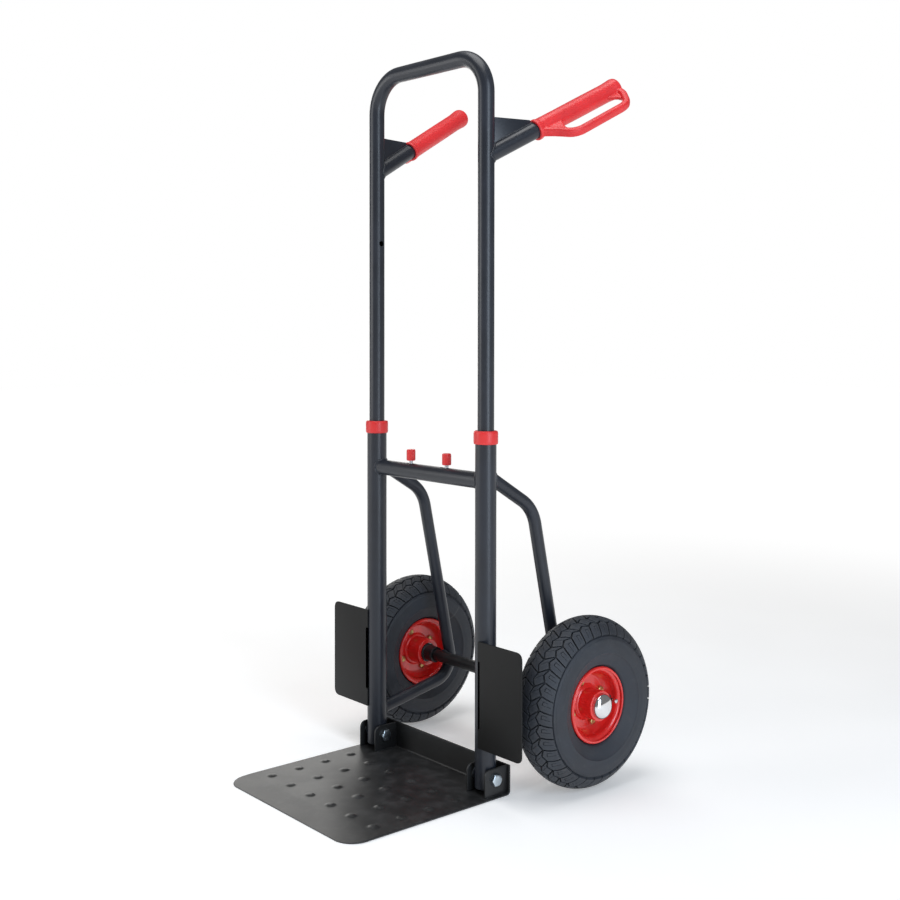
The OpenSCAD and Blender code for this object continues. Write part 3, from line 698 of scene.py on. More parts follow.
FINISHES = {
    "frame_black": PowderCoat("frame_black", (0.013, 0.0162, 0.0235), (0.018, 0.022, 0.032), 0.33, dust=0.10),
    "axle_black": PowderCoat("axle_black", (0.010, 0.010, 0.011), (0.015, 0.015, 0.016), 0.34, dust=0.1),
    "guard_black": PowderCoat(
        "guard_black", (0.007, 0.007, 0.007), (0.009, 0.009, 0.009), 0.5, 700.0, dust=0.05, gloss=0.26
    ),
    "toe_black": PowderCoat(
        "toe_black", (0.010, 0.0105, 0.011), (0.015, 0.0155, 0.016), 0.40, 800.0, dust=0.18
    ),
    "rim_red": Enamel("rim_red", (0.80, 0.026, 0.022), (0.62, 0.012, 0.012)),
    "red_plastic": Moulded(
        "red_plastic", (0.74, 0.035, 0.035), (0.66, 0.024, 0.026), 0.3, 1800.0, 0.00004, 0.08, 0.06
    ),
    "grip_red": Moulded(
        "grip_red", (0.74, 0.032, 0.036), (0.66, 0.024, 0.028), 0.32, 1300.0, 0.00007, 0.12, 0.08
    ),
    "dark_plastic": Moulded("dark_plastic", (0.02, 0.02, 0.022), (0.013, 0.013, 0.014), 0.45),
    "tyre_rubber": Rubber("tyre_rubber", (0.020, 0.023, 0.030), (0.028, 0.033, 0.043)),
    "tube_rubber": Rubber("tube_rubber", (0.012, 0.012, 0.013), (0.018, 0.018, 0.02), roughness=0.45),
    "valve_rubber": Rubber("valve_rubber", (0.010, 0.010, 0.011), (0.014, 0.014, 0.015), roughness=0.4),
    "cap_chrome": Plated("cap_chrome", (0.80, 0.80, 0.81), (0.55, 0.54, 0.52), 0.08, mark=0.2),
    "cap_metal": Plated("cap_metal", (0.66, 0.66, 0.67), (0.42, 0.40, 0.38), 0.2),
    "zinc_bolt": Plated("zinc_bolt", (0.58, 0.66, 0.72), (0.40, 0.44, 0.46), 0.24),
    "brass_plated": Plated("brass_plated", (0.55, 0.40, 0.17), (0.30, 0.22, 0.11), 0.3),
    "bearing_steel": Plated("bearing_steel", (0.50, 0.51, 0.53), (0.30, 0.29, 0.28), 0.22),
    "bare_steel": Plated("bare_steel", (0.48, 0.49, 0.51), (0.28, 0.26, 0.24), 0.28, (1.0, 8.0, 8.0)),
    "spring_steel": Plated("spring_steel", (0.40, 0.41, 0.43), (0.24, 0.22, 0.2), 0.3),
}


class Shop:
    """Makes each finish once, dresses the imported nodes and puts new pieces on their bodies."""

    def __init__(self) -> None:
        """Builds every finish."""
        self.paints = {name: finish.made() for name, finish in FINISHES.items()}
        self.slots = {s["node"]: s["material_slot"] for s in frame["record"]["subparts"]}
        self.bodies = frame["record"]["behaviour"]["bodies"]
        self.home = {node: body for body, nodes in self.bodies.items() for node in nodes}

    def dress(self) -> None:
        """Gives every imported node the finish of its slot."""
        for node, obj in frame["nodes"].items():
            paint = self.paints[self.slots[node]]
            if not obj.material_slots:
                obj.data.materials.append(paint)
            for hold in obj.material_slots:
                hold.material = paint

    def piece(
        self,
        name: str,
        skins: Sequence[Skin],
        stands_for: Sequence[str],
        side: Side = Side.RIGHT,
        body: str = "",
        slot: str = "",
        crease: float = 32.0,
        fuse: float = 0.0,
    ) -> bpy.types.Object:
        """Turns skins into one object on its body.

        Args:
            name: the piece's name.
            skins: its closed surfaces, in millimetres on the right-hand side.
            stands_for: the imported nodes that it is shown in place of.
            side: LEFT turns X round.
            body: the body it rides on, where it stands for no node.
            slot: its material slot, where it stands for no node.
            crease: edges that bend more than this many degrees stay sharp.
            fuse: grain in millimetres at which crossing surfaces are made one, or 0.

        Returns:
            The object.
        """
        mesh = bpy.data.meshes.new(name)
        first = np.cumsum([0] + [len(s.points) for s in skins])
        points = np.concatenate([s.points for s in skins]) * MM * np.array([side.value, 1, 1])
        faces = [f for s, k in zip(skins, first) for f in (s.quads + k).tolist()]
        faces += [(cap + k).tolist() for s, k in zip(skins, first) for cap in s.caps]
        mesh.from_pydata(points.tolist(), [], faces)
        bm = bmesh.new()
        bm.from_mesh(mesh)
        bmesh.ops.remove_doubles(bm, verts=bm.verts, dist=1e-6)
        bmesh.ops.dissolve_degenerate(bm, edges=bm.edges, dist=1e-7)
        bmesh.ops.recalc_face_normals(bm, faces=bm.faces)
        bm.to_mesh(mesh)
        bm.free()
        obj = bpy.data.objects.new(name, mesh)
        bpy.context.scene.collection.objects.link(obj)
        if fuse:
            self.fused(obj, fuse)
        obj.data.polygons.foreach_set("use_smooth", np.ones(len(obj.data.polygons), bool))
        obj.data.set_sharp_from_angle(angle=math.radians(crease))
        slot = slot or self.slots[stands_for[0]]
        obj.data.materials.append(self.paints[slot])
        if stands_for:
            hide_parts(*stands_for)
        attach(obj, body or self.home[stands_for[0]])
        log.info("%s: %d faces, finish %s", name, len(obj.data.polygons), slot)
        return obj

    def fused(self, obj: bpy.types.Object, grain: float) -> None:
        """Makes crossing surfaces one skin and eases the corners where they meet.

        Args:
            obj: the piece.
            grain: size of the new faces in millimetres.
        """
        remesh = obj.modifiers.new("one_skin", "REMESH")
        remesh.mode = "VOXEL"
        remesh.voxel_size = grain * MM
        ease = obj.modifiers.new("ease", "SMOOTH")
        ease.iterations = 5
        ease.factor = 0.5
        shaped = bpy.data.meshes.new_from_object(obj.evaluated_get(bpy.context.evaluated_depsgraph_get()))
        obj.modifiers.clear()
        obj.data = shaped


# ---------------------------------------------------------------- the wheels


@dataclass(frozen=True)
class Tread:
    """The tyre's tread: zigzag grooves round the tyre, slanted ones across it, and hooked sipes.

    A line round the tyre has a number a, counted in pitches, and a line across it a place s in
    millimetres from the middle. The point that they share is moved by the two zigzags, so every
    edge of a block lies on a line of the grid.
    """

    pitches: int = 38
    depth: float = 3.9
    sipe_depth: float = 1.3
    swing: float = 2.6
    shoulder: float = 46.0

    def around(self) -> tuple[Array, Array]:
        """Lines of one pitch: their places and the height on each, 0 in the cross groove."""
        top = [0.124, 0.2, 0.282, 0.30, 0.318, 0.4, 0.48, 0.545, 0.563, 0.581, 0.66, 0.75, 0.84, 0.93]
        place = np.array([0.0, 0.014, 0.062, 0.11] + top)
        return place, np.where((place > 0.01) & (place < 0.12), 0.0, 1.0)

    def across(self) -> tuple[Array, Array]:
        """Lines of one half of the tread: their places and the height on each."""
        inner = [0, 3.5, 6.6, 7.1, 7.6, 8.5, 9.4, 9.9, 13, 16, 19, 21.2, 21.7, 22.6, 23.5, 24]
        outer = [26.2, 28.7, 29.2, 29.7, 32, 34.5, 37, 39.5, 42, 44.3, 46]
        place = np.array(inner + outer, float)
        low = np.isin(place, [7.6, 8.5, 9.4, 21.7, 22.6, 23.5, 46])
        return place, np.where(low, 0.0, 1.0)

    def slant(self, s: Array) -> Array:
        """Returns how far round, in pitches, the cross grooves lie at a place s."""
        return np.interp(s, [-46, -22.6, -8.5, 8.5, 22.6, 46], [-0.05, 0.27, -0.25, 0.25, -0.27, 0.05])

    def zigzag(self, a: Array) -> Array:
        """Returns the sideways swing of the round grooves, 1 at a cross groove and -1 between two."""
        return np.abs(((a - 0.062) % 1.0) - 0.5) * 4 - 1

    def sipes(self, p: Array, s: Array) -> Array:
        """Returns 1 on the hooked sipe of a shoulder block and on the short one of each block."""
        out = np.abs(s)
        arm = np.isclose(p, 0.563) & (out >= 29.2) & (out < 41)
        hook = np.isclose(out, 29.2) & (p >= 0.30) & (p <= 0.563)
        barb = np.isclose(p, 0.30) & (out >= 29.2) & (out < 36)
        middle = np.isclose(p, 0.563) & (((out > 11) & (out < 20)) | (out < 5))
        return (arm | hook | barb | middle).astype(float)


@dataclass
class Wheel:
    """An air-filled wheel: tyre, pressed rim halves, hub, bearings, bolts and valve."""

    side: Side
    shop: Shop
    tread: Tread = field(default_factory=Tread)
    section_r: float = 41.0
    wall: float = 6.0
    sheet: float = 2.4
    hub_r: float = 23.0
    hub_out: float = 34.0
    hub_in: float = 36.0
    hub_lip_r: float = 16.2
    bearing_w: float = 12.0
    bearing_r: float = 21.0
    axle_r: float = 10.0
    bolt_circle: float = 34.0
    bolt_turn: float = 22.5
    valve_r: float = 3.5
    valve_place: tuple[float, float] = (37.0, 9.0)
    valve_l: float = 17.0

    def __post_init__(self) -> None:
        """Takes the wheel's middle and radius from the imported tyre."""
        low, high = (np.array(v) * 1000 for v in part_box(self.side.node("tyre")))
        middle = (low + high) / 2
        self.tyre_r = (high[2] - low[2]) / 2
        self.place = Place((abs(middle[0]), middle[1], middle[2]), (1, 0, 0), (0, 0, -1))

    def tyre(self) -> Skin:
        """Works out the tyre.

        Returns:
            The closed section (r, x) turned round the axle. In the tread r = c + q cos f and
            x = q sin f, with f = s / R and q = R - depth (1 - height) - sipe. The sidewall goes
            on round the same circle with a shallow band pressed in, then runs in under the rim's
            lip and back inside the wall.
        """
        t, big = self.tread, self.section_r
        centre = self.tyre_r - big
        p, tall = t.around()
        half, level = t.across()
        s = np.concatenate([-half[:0:-1], half])
        level = np.concatenate([level[:0:-1], level])
        a = (np.arange(t.pitches)[:, None] + p[None]).ravel()
        p_all, tall_all = np.tile(p, t.pitches), np.tile(tall, t.pitches)
        reach = np.interp(np.abs(s), [0, 8.5, 24, 34], [0, 1, 1, 0])
        swing = t.swing * t.zigzag(a)[:, None] * reach * np.sign(s)
        turn = (a[:, None] + t.slant(s)[None]) * 2 * np.pi / t.pitches
        height = np.minimum(tall_all[:, None], level[None])
        fall = np.interp(np.abs(s), [0, 36, 46], [0.9, 1.0, 0.9])
        drop = t.depth * (1 - height) * fall + t.sipe_depth * t.sipes(p_all[:, None], s[None]) * height
        f, q = (s[None] + swing) / big, big - drop
        tread = np.stack([centre + q * np.cos(f), q * np.sin(f)], -1)
        side = self.sidewall(centre, big)
        flipped = side * np.array([1, -1])
        inner = self.inside(centre)
        still = np.concatenate([side, inner, flipped[::-1]])
        section = np.concatenate([tread, np.broadcast_to(still, (len(a),) + still.shape)], 1)
        fade = np.linspace(turn[:, -1], turn[:, 0], len(still), axis=1)
        turn = np.concatenate([turn, fade], 1)
        r, x = section[..., 0], section[..., 1]
        grid = np.stack([r * np.cos(turn), r * np.sin(turn), x], -1)
        return woven(self.place.put(grid), round_rows=True, round_columns=True)

    def sidewall(self, centre: float, big: float) -> Array:
        """Works out the sidewall from the tread's edge to the bead.

        Args:
            centre: radius of the section's middle.
            big: the section's radius.

        Returns:
            (r, x) pairs: R - 2.1 + rib - band along the circle, then the bead.
        """
        rows = [66.5, 69, 71.5, 73, 74, 75.5, 80, 85, 90, 95, 99, 101, 102.5, 104, 108, 112, 117, 121, 124.5]
        f = np.radians(np.array(rows))
        angles = [66, 71.5, 73, 75.5, 77, 99, 101, 102.5, 104, 113, 125]
        depths = [2.1, 1.6, 0.9, 0.9, 1.5, 0.8, 0.2, 0.2, 1.1, 2.4, 2.0]
        q = big - np.interp(np.degrees(f), angles, depths)
        round_part = np.stack([centre + q * np.cos(f), q * np.sin(f)], -1)
        bead = np.array([
            [62.6, 30.3], [60.6, 28.6], [59.4, 26.3], [58.6, 24.2], [55.8, 22.6], [53.4, 21.4], [51.6, 19.2],
            [51.1, 16.5], [51.1, 13.6],
        ])
        return np.concatenate([round_part, soften(bead, 1.0, 3)])

    def inside(self, centre: float) -> Array:
        """Works out the tyre's inner face, r = c + (R - w) cos f, from one bead to the other."""
        f = np.radians(np.linspace(128, -128, 17))
        q = self.section_r - self.wall
        arc = np.stack([centre + q * np.cos(f), q * np.sin(f)], -1)
        start = np.array([[54.5, 14.0]])
        return np.concatenate([start, arc, start * [1, -1]])

    def rim_half(self, out: int) -> Skin:
        """Presses one half of the rim.

        Args:
            out: 1 for the outer half, -1 for the inner one.

        Returns:
            The sheet of even thickness round its middle line, with a rolled lip, turned round the
            axle.
        """
        h = self.sheet / 2
        line = np.array([
            [self.hub_r + 0.2, 5.2], [self.hub_r + 2.2, 5.0], [self.hub_r + 4.2, h],
            [40.8, h], [44.6, 4.4], [47.4, 8.4],
            [49.8, 13], [49.8, 20.6], [52, 23.6], [55.4, 24.6], [57.1, 26.1], [56.5, 28.2], [54.6, 28.5],
        ])
        soft = soften(line, np.array([0, 1.0, 1.2, 3, 3, 4, 3.5, 2.5, 2, 1.6, 1.4, 1.2, 0]), 6)
        outline = strip(soft, self.sheet * 0.96) * np.array([1, out])
        return lathe(outline, self.place, 144, closed=True)

    def hub(self) -> Skin:
        """Turns the hub tube, its ends rolled in over the bearings and its edges broken by 0.8 mm."""
        r, b, w, lip = self.hub_r, self.bearing_r, self.bearing_w, self.hub_lip_r
        line = np.array([
            [r, -self.hub_in], [r, self.hub_out], [lip, self.hub_out], [lip, self.hub_out - 0.9],
            [b, self.hub_out - 0.9], [b, self.hub_out - w],
            [b - 2, self.hub_out - w], [b - 2, w - self.hub_in],
            [b, w - self.hub_in], [b, 0.9 - self.hub_in], [lip, 0.9 - self.hub_in], [lip, -self.hub_in],
        ])
        round_off = np.array([1.6, 1.6, 0.4, 0.3, 0.3, 0.6, 0.6, 0.6, 0.6, 0.3, 0.3, 0.4])
        return lathe(soften(line, round_off, 5, closed=True), self.place, 96, closed=True)

    def bearings(self) -> list[Skin]:
        """Turns two ball bearings: races, and a shield set 0.8 mm back between them."""
        b, a = self.bearing_r, self.axle_r + 0.1
        skins = []
        for base, way in ((0.6 - self.hub_in, 1), (self.hub_out - 0.6, -1)):
            z = np.array([0, 0, 0.8, 0.8, 0, 0, self.bearing_w, self.bearing_w])
            r = np.array([b, b - 3.2, b - 3.6, a + 3.4, a + 3, a, a, b])
            line = np.stack([r, base + way * z], -1)
            skins.append(lathe(soften(line, 0.5, 3, closed=True), self.place, 96, closed=True))
        return skins

    def bolt_places(self) -> list[Place]:
        """Returns the four rim bolts' places, their Z pointing out of the truck."""
        places = []
        for k in range(4):
            t = math.radians(self.bolt_turn + 90 * k)
            circle = self.bolt_circle
            spot = self.place.put(np.array([circle * math.cos(t), circle * math.sin(t), 0.0]))
            places.append(Place(tuple(spot), (1, 0, 0), (0, math.cos(t), -math.sin(t))))
        return places

    def bolts(self) -> list[Skin]:
        """Forges the rim bolts: a hexagon head inside, a threaded end outside."""
        skins = []
        for p in self.bolt_places():
            head = Place((p.origin[0] - self.sheet, *p.origin[1:]), (-1, 0, 0), p.x_to)
            skins += [hexagon(head, 10, 4), threaded(p, 3.0, -self.sheet, self.sheet + 7, 1.0)]
        return skins

    def nuts(self) -> list[Skin]:
        """Forges the rim nuts, each with a washer face under it."""
        skins = []
        for p in self.bolt_places():
            seat = Place((p.origin[0] + self.sheet, *p.origin[1:]), (1, 0, 0), p.x_to)
            skins.append(hexagon(seat, 10, 5, 0.9))
        return skins

    def valve_stem(self) -> list[Skin]:
        """Works out the rubber valve: a round neck that turns out of the rim, ribbed at its root."""
        at, x = self.valve_place
        line = soften(np.array([[0, at + 22, x], [0, at, x], [0, at, x + self.valve_l]]), 7.0, 9)
        neck = sweep(self.place.put(line), ring(self.valve_r * 0.9, 24), np.array([0, 0, 1.0]))
        stem = Place(tuple(self.place.put(np.array([0, at, x]))), (1, 0, 0), (0, 1, 0))
        z = np.array([4, 4, 6, 7.2, 8, 10, 11, 14, 15, self.valve_l, self.valve_l])
        r = self.valve_r * np.array([0, 1.0, 1.0, 0.86, 1.0, 1.0, 0.86, 0.86, 0.95, 0.9, 0])
        return [neck, lathe(soften(np.stack([r, z], -1), 0.5, 3), stem, 32)]

    def valve_cap(self) -> Skin:
        """Turns the valve's cap with 18 grip flutes: r (1 - 0.07 cos 18t)."""
        at, x = self.valve_place
        place = Place(tuple(self.place.put(np.array([0, at, x + self.valve_l]))), (1, 0, 0), (0, 1, 0))
        z = np.array([0, 0, 0.6, 1.2, 5.2, 6.2, 6.8, 7.0])
        r = self.valve_r * np.array([0, 0.92, 1.0, 1.0, 1.0, 0.92, 0.6, 0])
        turn = np.linspace(0, 2 * np.pi, 108, endpoint=False)[:, None]
        flute = 1 - 0.07 * (0.5 + 0.5 * np.cos(18 * turn)) * np.array([0, 0, 0, 1, 1, 0, 0, 0])
        grid = np.stack([r * flute * np.cos(turn), r * flute * np.sin(turn), z + 0 * turn], -1)
        return woven(place.put(grid), round_rows=True)

    def build(self) -> None:
        """Makes the wheel's pieces."""
        s, shop = self.side, self.shop
        shop.piece(s.node("tyre_treaded"), [self.tyre()], [s.node("tyre")], s, crease=28)
        shop.piece(s.node("rim_outer_pressed"), [self.rim_half(1)], [s.node("rim_outer")], s)
        shop.piece(s.node("rim_inner_pressed"), [self.rim_half(-1)], [s.node("rim_inner")], s)
        seam = lathe(soften(self.hub_collar(), 0.8, 4, closed=True), self.place, 96, closed=True)
        shop.piece(s.node("hub_turned"), [self.hub(), seam], [s.node("hub")], s)
        shop.piece(s.node("bearings_shielded"), self.bearings(), [s.node("bearings")], s)
        shop.piece(s.node("rim_bolts_forged"), self.bolts(), [s.node("rim_bolts")], s)
        shop.piece(s.node("rim_nuts_forged"), self.nuts(), [s.node("rim_nuts")], s)
        shop.piece(s.node("valve_moulded"), self.valve_stem(), [s.node("valve")], s)
        shop.piece(s.node("valve_cap_fluted"), [self.valve_cap()], [s.node("valve_cap")], s)

    def hub_collar(self) -> Array:
        """Returns the section of the weld that joins the hub tube to the rim's outer half."""
        r = self.hub_r
        return np.array([[r - 0.6, 5.0], [r + 2.6, 6.4], [r + 1.4, 7.6], [r - 0.6, 9.2]])


# ---------------------------------------------------------------- the frame


def box_mm(node: str) -> tuple[Array, Array]:
    """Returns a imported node's lowest and highest corner in millimetres."""
    low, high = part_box(node)
    return np.array(low) * 1000, np.array(high) * 1000


@dataclass
class Chassis:
    """The fixed frame: uprights, crossbar, braces, axle, guards and collars, with their welds."""

    shop: Shop
    upright_r: float = 16.0
    brace_r: float = 10.0
    brace_tilt: float = 31.0
    brace_lean: float = 12.2
    brace_rise: float = 11.0
    brace_low_z: float = 64.0
    brace_above_bar: float = 10.5
    axle_r: float = 10.0
    weld_gap: float = 0.8
    guard_t: float = 2.5
    guard_r: float = 12.0
    guard_tab: float = 30.0
    bore_r: float = 12.6

    def __post_init__(self) -> None:
        """Takes the tubes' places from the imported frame."""
        low, high = box_mm("right_upright")
        self.x = (low[0] + high[0]) / 2
        self.top = high[2]
        bar_low, bar_high = box_mm("crossbar")
        self.bar_z, self.bar_r = (bar_low[2] + bar_high[2]) / 2, (bar_high[2] - bar_low[2]) / 2
        axle_low, axle_high = box_mm("axle")
        self.axle_y, self.axle_z = (axle_low[1:] + axle_high[1:]) / 2

    def collar(self) -> Skin:
        """Turns a red collar: a spigot in the upright, a skirt over it and a rounded lip."""
        r = self.upright_r
        line = np.array([
            [self.bore_r, -28], [r - 2.05, -28], [r - 2.05, -0.2], [r + 0.05, -0.2], [r + 0.05, -14],
            [r + 1.9, -14], [r + 2.45, -11.5], [r + 2.5, 2.6], [r + 1.5, 6],
            [self.bore_r + 0.4, 6], [self.bore_r, 5.2],
        ])
        round_off = np.array([0.3, 0.4, 0.2, 0.2, 0.3, 0.9, 2.0, 1.6, 1.6, 0.4, 0.3])
        place = Place((self.x, 0, self.top))
        return lathe(soften(line, round_off, 5, closed=True), place, 96, closed=True)

    def cap(self) -> Skin:
        """Presses the chrome cap: r = R cos t, h = e + H sin t over a short straight edge."""
        low, high = box_mm("right_axle_cap")
        r, tall = (high[2] - low[2]) / 2, high[0] - low[0]
        t = np.linspace(0, np.pi / 2, 16)
        dome = np.stack([r * np.cos(t) ** 0.92, 2.0 + (tall - 2.0) * np.sin(t)], -1)
        dome[-1, 0] = 0
        edge = np.array([[0, 0.6], [r - 1.6, 0.6], [r - 1.0, 0.0], [r - 0.2, 0.05], [r, 0.8]])
        place = Place((low[0], self.axle_y, self.axle_z), (1, 0, 0), (0, 1, 0))
        return lathe(np.concatenate([edge, dome]), place, 96)

    def spacer(self) -> Skin:
        """Turns the spacer tube with its flange beside the hub."""
        low, high = box_mm("right_axle_spacer")
        flange, length = (high[2] - low[2]) / 2, high[0] - low[0]
        bore = self.axle_r + 0.05
        line = np.array([
            [bore, 0], [flange - 2, 0], [flange - 2, length - 2.2],
            [flange, length - 2], [flange, length], [bore, length],
        ])
        place = Place((low[0], self.axle_y, self.axle_z), (1, 0, 0), (0, 1, 0))
        return lathe(soften(line, 0.7, 4, closed=True), place, 72, closed=True)

    def guard(self) -> Skin:
        """Cuts a wheel guard: a rounded plate with two tabs that reach the upright."""
        low, high = box_mm("right_wheel_guard")
        x0, x1, z0, z1, t = low[0], high[0], low[2], high[2], self.guard_tab
        corners = np.array([
            [x0, z0], [x1, z0], [x1, z1], [x0, z1],
            [x0, z1 - t], [x0 + 4, z1 - t], [x0 + 4, z0 + t], [x0, z0 + t],
        ])
        r = self.guard_r
        outline = soften(corners, np.array([0.8, r, r, 0.8, 0.8, 1.5, 1.5, 0.8]), 9, closed=True)
        return plate(outline, self.guard_t, 0.7, Place((0, high[1], 0), (0, -1, 0)))

    def welds(self) -> list[Skin]:
        """Lays the beads round the crossbar's and brace's ends, at the axle and at the guard."""
        post = np.array([self.x, 0.0])
        up = np.array([0, 0, 1.0])
        skins = []
        bar = saddle(np.array([60.0, 0, self.bar_z]), np.array([1.0, 0, 0]), self.bar_r, post, self.upright_r)
        skins.append(bead(bar, np.array([1.0, 0, 0]), 1.9))
        reach = 60.0
        joins = ((self.bar_z + self.brace_above_bar, -self.brace_tilt), (self.brace_low_z, self.brace_rise))
        for z0, slope in joins:
            s, c = math.sin(math.radians(slope)), math.cos(math.radians(slope))
            start = np.array([self.x, reach, z0 + reach * s / c])
            along = np.array([0, -c, -s])
            line = saddle(start, along, self.brace_r, post, self.upright_r)
            skins.append(bead(line, along, 1.9))
        skins.append(self.axle_weld())
        low, high = box_mm("right_wheel_guard")
        for z in (low[2], high[2] - self.guard_tab):
            across, back = np.full(30, low[0] + 2.6), np.full(30, -self.upright_r + 0.7)
            run = np.stack([across, back, np.linspace(z + 2, z + 27, 30)], -1)
            skins.append(bead(run, np.array([1.0, 0, 0]), 1.2, closed=False))
        return skins

    def axle_weld(self) -> Skin:
        """Lays the bead between the axle and the brace's middle leg.

        Returns:
            A bead on C + u X + v L + N (u^2 - v^2) / 4R, a loop that follows both round tubes,
            where L runs along the leg and N points from the axle to it.
        """
        lean = math.radians(self.brace_lean)
        n = np.array([0, math.cos(lean), math.sin(lean)])
        leg = np.array([0, -math.sin(lean), math.cos(lean)])
        middle = np.array([self.x, self.axle_y, self.axle_z]) + n * (self.axle_r + self.weld_gap / 2)
        t = np.linspace(0, 2 * np.pi, 60)[:, None]
        u, v = 6.2 * np.cos(t), 6.2 * np.sin(t)
        line = middle + u * np.array([1.0, 0, 0]) + v * leg + n * (u * u - v * v) / (4 * self.axle_r)
        return bead(line, n, 2.3)

    def build(self) -> None:
        """Makes the frame's pieces."""
        for side in Side:
            n, shop = side.node, self.shop
            shop.piece(n("collar_moulded"), [self.collar()], [n("collar")], side)
            shop.piece(n("axle_cap_domed"), [self.cap()], [n("axle_cap")], side, crease=50)
            shop.piece(n("axle_spacer_turned"), [self.spacer()], [n("axle_spacer")], side)
            shop.piece(n("wheel_guard_cut"), [self.guard()], [n("wheel_guard")], side)
            shop.piece(n("frame_welds"), self.welds(), [], side, "frame", "frame_black", crease=60)


# ---------------------------------------------------------------- the push frame


@dataclass
class PushFrame:
    """The sliding frame's grips, gussets and welds."""

    shop: Shop
    tube_r: float = 12.5
    root_z: float = 954.5
    tilt: float = 27.3
    splay: float = 12.0
    grip_start: float = 96.5
    grip_l: float = 172.0
    grip_r: float = 15.0
    guard_turn: float = 30.0
    guard_t: float = 11.0
    guard_w: float = 14.0
    gusset_t: float = 3.0
    gusset_h: float = 59.5

    def __post_init__(self) -> None:
        """Works out the handle's direction and the guard's, both square to each other."""
        low, high = box_mm("right_upright")
        self.x = (low[0] + high[0]) / 2
        tilt, splay, turn = (math.radians(v) for v in (self.tilt, self.splay, self.guard_turn))
        flat = np.array([math.sin(splay), math.cos(splay), 0])
        beside = np.array([math.cos(splay), -math.sin(splay), 0])
        self.flat, self.beside = flat, beside
        self.along = math.cos(tilt) * flat + np.array([0, 0, math.sin(tilt)])
        below = np.cross(beside, self.along)
        below = below if below[2] < 0 else -below
        self.guard_to = math.cos(turn) * beside + math.sin(turn) * below
        root = np.array([self.x, 0, self.root_z])
        self.root = root
        start = root + self.grip_start * self.along
        self.place = Place(tuple(start), tuple(self.along), tuple(self.guard_to))

    def sleeve(self) -> Skin:
        """Moulds the sleeve: a bore, a ring at its start, a faint belly and a flared end."""
        r, l = self.grip_r, self.grip_l
        line = np.array([
            [0, l - 5], [self.tube_r + 0.05, l - 5], [self.tube_r + 0.05, 0],
            [r + 1.4, 0], [r + 1.6, 5.5], [r + 0.1, 8.5],
            [r - 0.1, 40], [r + 0.15, 90], [r, l - 26], [r + 0.9, l - 13], [r + 1.5, l - 7], [r + 0.4, l - 1.2],
            [r - 5, l], [0, l],
        ])
        round_off = np.array([0, 0.5, 0.5, 1.2, 1.6, 1.5, 15, 20, 8, 5, 3, 3, 3, 0])
        return lathe(soften(line, round_off, 6), self.place, 96)

    def loop(self) -> Array:
        """Returns the middle line of the knuckle guard's bar, as (distance out, along) pairs."""
        line = np.array([
            [9, 4], [27, 20], [47.5, 34], [52.5, 46], [50.8, 137], [46.5, 149], [24, 163.5], [9, 165.5],
        ])
        return soften(line, np.array([0, 8, 8, 8, 7, 6, 6, 0.0]), 8)

    def guard(self) -> list[Skin]:
        """Moulds the knuckle guard: a boxy round bar, and thin webs in its two sharp corners."""
        line = self.loop()
        grid = np.stack([line[:, 0], 0 * line[:, 0], line[:, 1]], -1)
        section = ring(1.0, 20, 3.2) * np.array([self.guard_t / 2, self.guard_w / 2])
        across = self.place.put(np.array([[0, 1.0, 0]])) - np.array(self.place.origin)
        bar = sweep(self.place.put(grid), section, across)
        skins = [bar]
        near = [[10, 4], [27, 20], [46, 34], [30, 35.5], [11, 46]]
        far = [[11, 134], [27, 149.5], [38, 153], [24, 162], [10, 167]]
        for corners, thick, edge in ((near, 10.5, 3.0), (far, 5.0, 1.2)):
            outline = np.array(corners, float)[::-1]
            flat = soften(outline, 3.0, 5, closed=True)
            spot = self.place.put(np.array([0, thick / 2, 0.0]))
            turned = Place(tuple(spot), tuple(-across[0]), self.place.x_to)
            if outline_area(flat) < 0:
                flat = flat[::-1]
            skins.append(plate(self.matched(flat, turned), thick, edge, turned))
        return skins

    def matched(self, flat: Array, place: Place) -> Array:
        """Turns (out, along) pairs into the plate's own axes, whose Y may run against the sleeve."""
        up = place.put(np.array([0, 1.0, 0])) - np.array(place.origin)
        sign = 1.0 if up @ self.along > 0 else -1.0
        turned = flat * np.array([1, sign])
        return turned if outline_area(turned) > 0 else turned[::-1]

    def gusset(self) -> Skin:
        """Cuts the triangle between the push frame and the top of the handle's tube."""
        tilt = math.radians(self.tilt)
        on, off = np.array([math.cos(tilt), math.sin(tilt)]), np.array([-math.sin(tilt), math.cos(tilt)])
        sunk, x0, top, end = self.tube_r - 0.6, self.tube_r - 0.6, self.gusset_h, self.grip_start - 1.2
        near = off * sunk + on * ((x0 + off[0] * -sunk) / on[0])
        foot = off * sunk + on * end
        tip = off * ((top - on[1] * end) / off[1]) + on * end
        corners = np.array([near, foot, tip, [x0, top]])
        outline = soften(corners, 1.2, 5, closed=True)
        origin = self.root - self.beside * self.gusset_t / 2
        return plate(outline, self.gusset_t, 0.6, Place(tuple(origin), tuple(self.beside), tuple(self.flat)))

    def welds(self) -> list[Skin]:
        """Lays the beads round the handle's root and along the gusset's two edges."""
        post = self.root[:2]
        line = saddle(self.root + 80 * self.along, -self.along, self.tube_r - 0.02, post, self.tube_r)
        skins = [bead(line, self.along, 1.8)]
        rise = math.tan(math.radians(self.tilt))
        lift = self.tube_r / math.cos(math.radians(self.tilt))
        for way in (-1, 1):
            offset = way * (self.gusset_t / 2 + 0.3) * self.beside
            y = np.linspace(20, 84, 60)[:, None]
            low = self.root + offset + y * self.flat + (rise * y + lift) * np.array([0, 0, 1.0])
            skins.append(bead(low, self.beside, 1.1, closed=False))
            z = np.linspace(26, 57, 40)[:, None]
            tall = self.root + offset + self.tube_r * self.flat + z * np.array([0, 0, 1.0])
            skins.append(bead(tall, self.beside, 1.1, closed=False))
        return skins

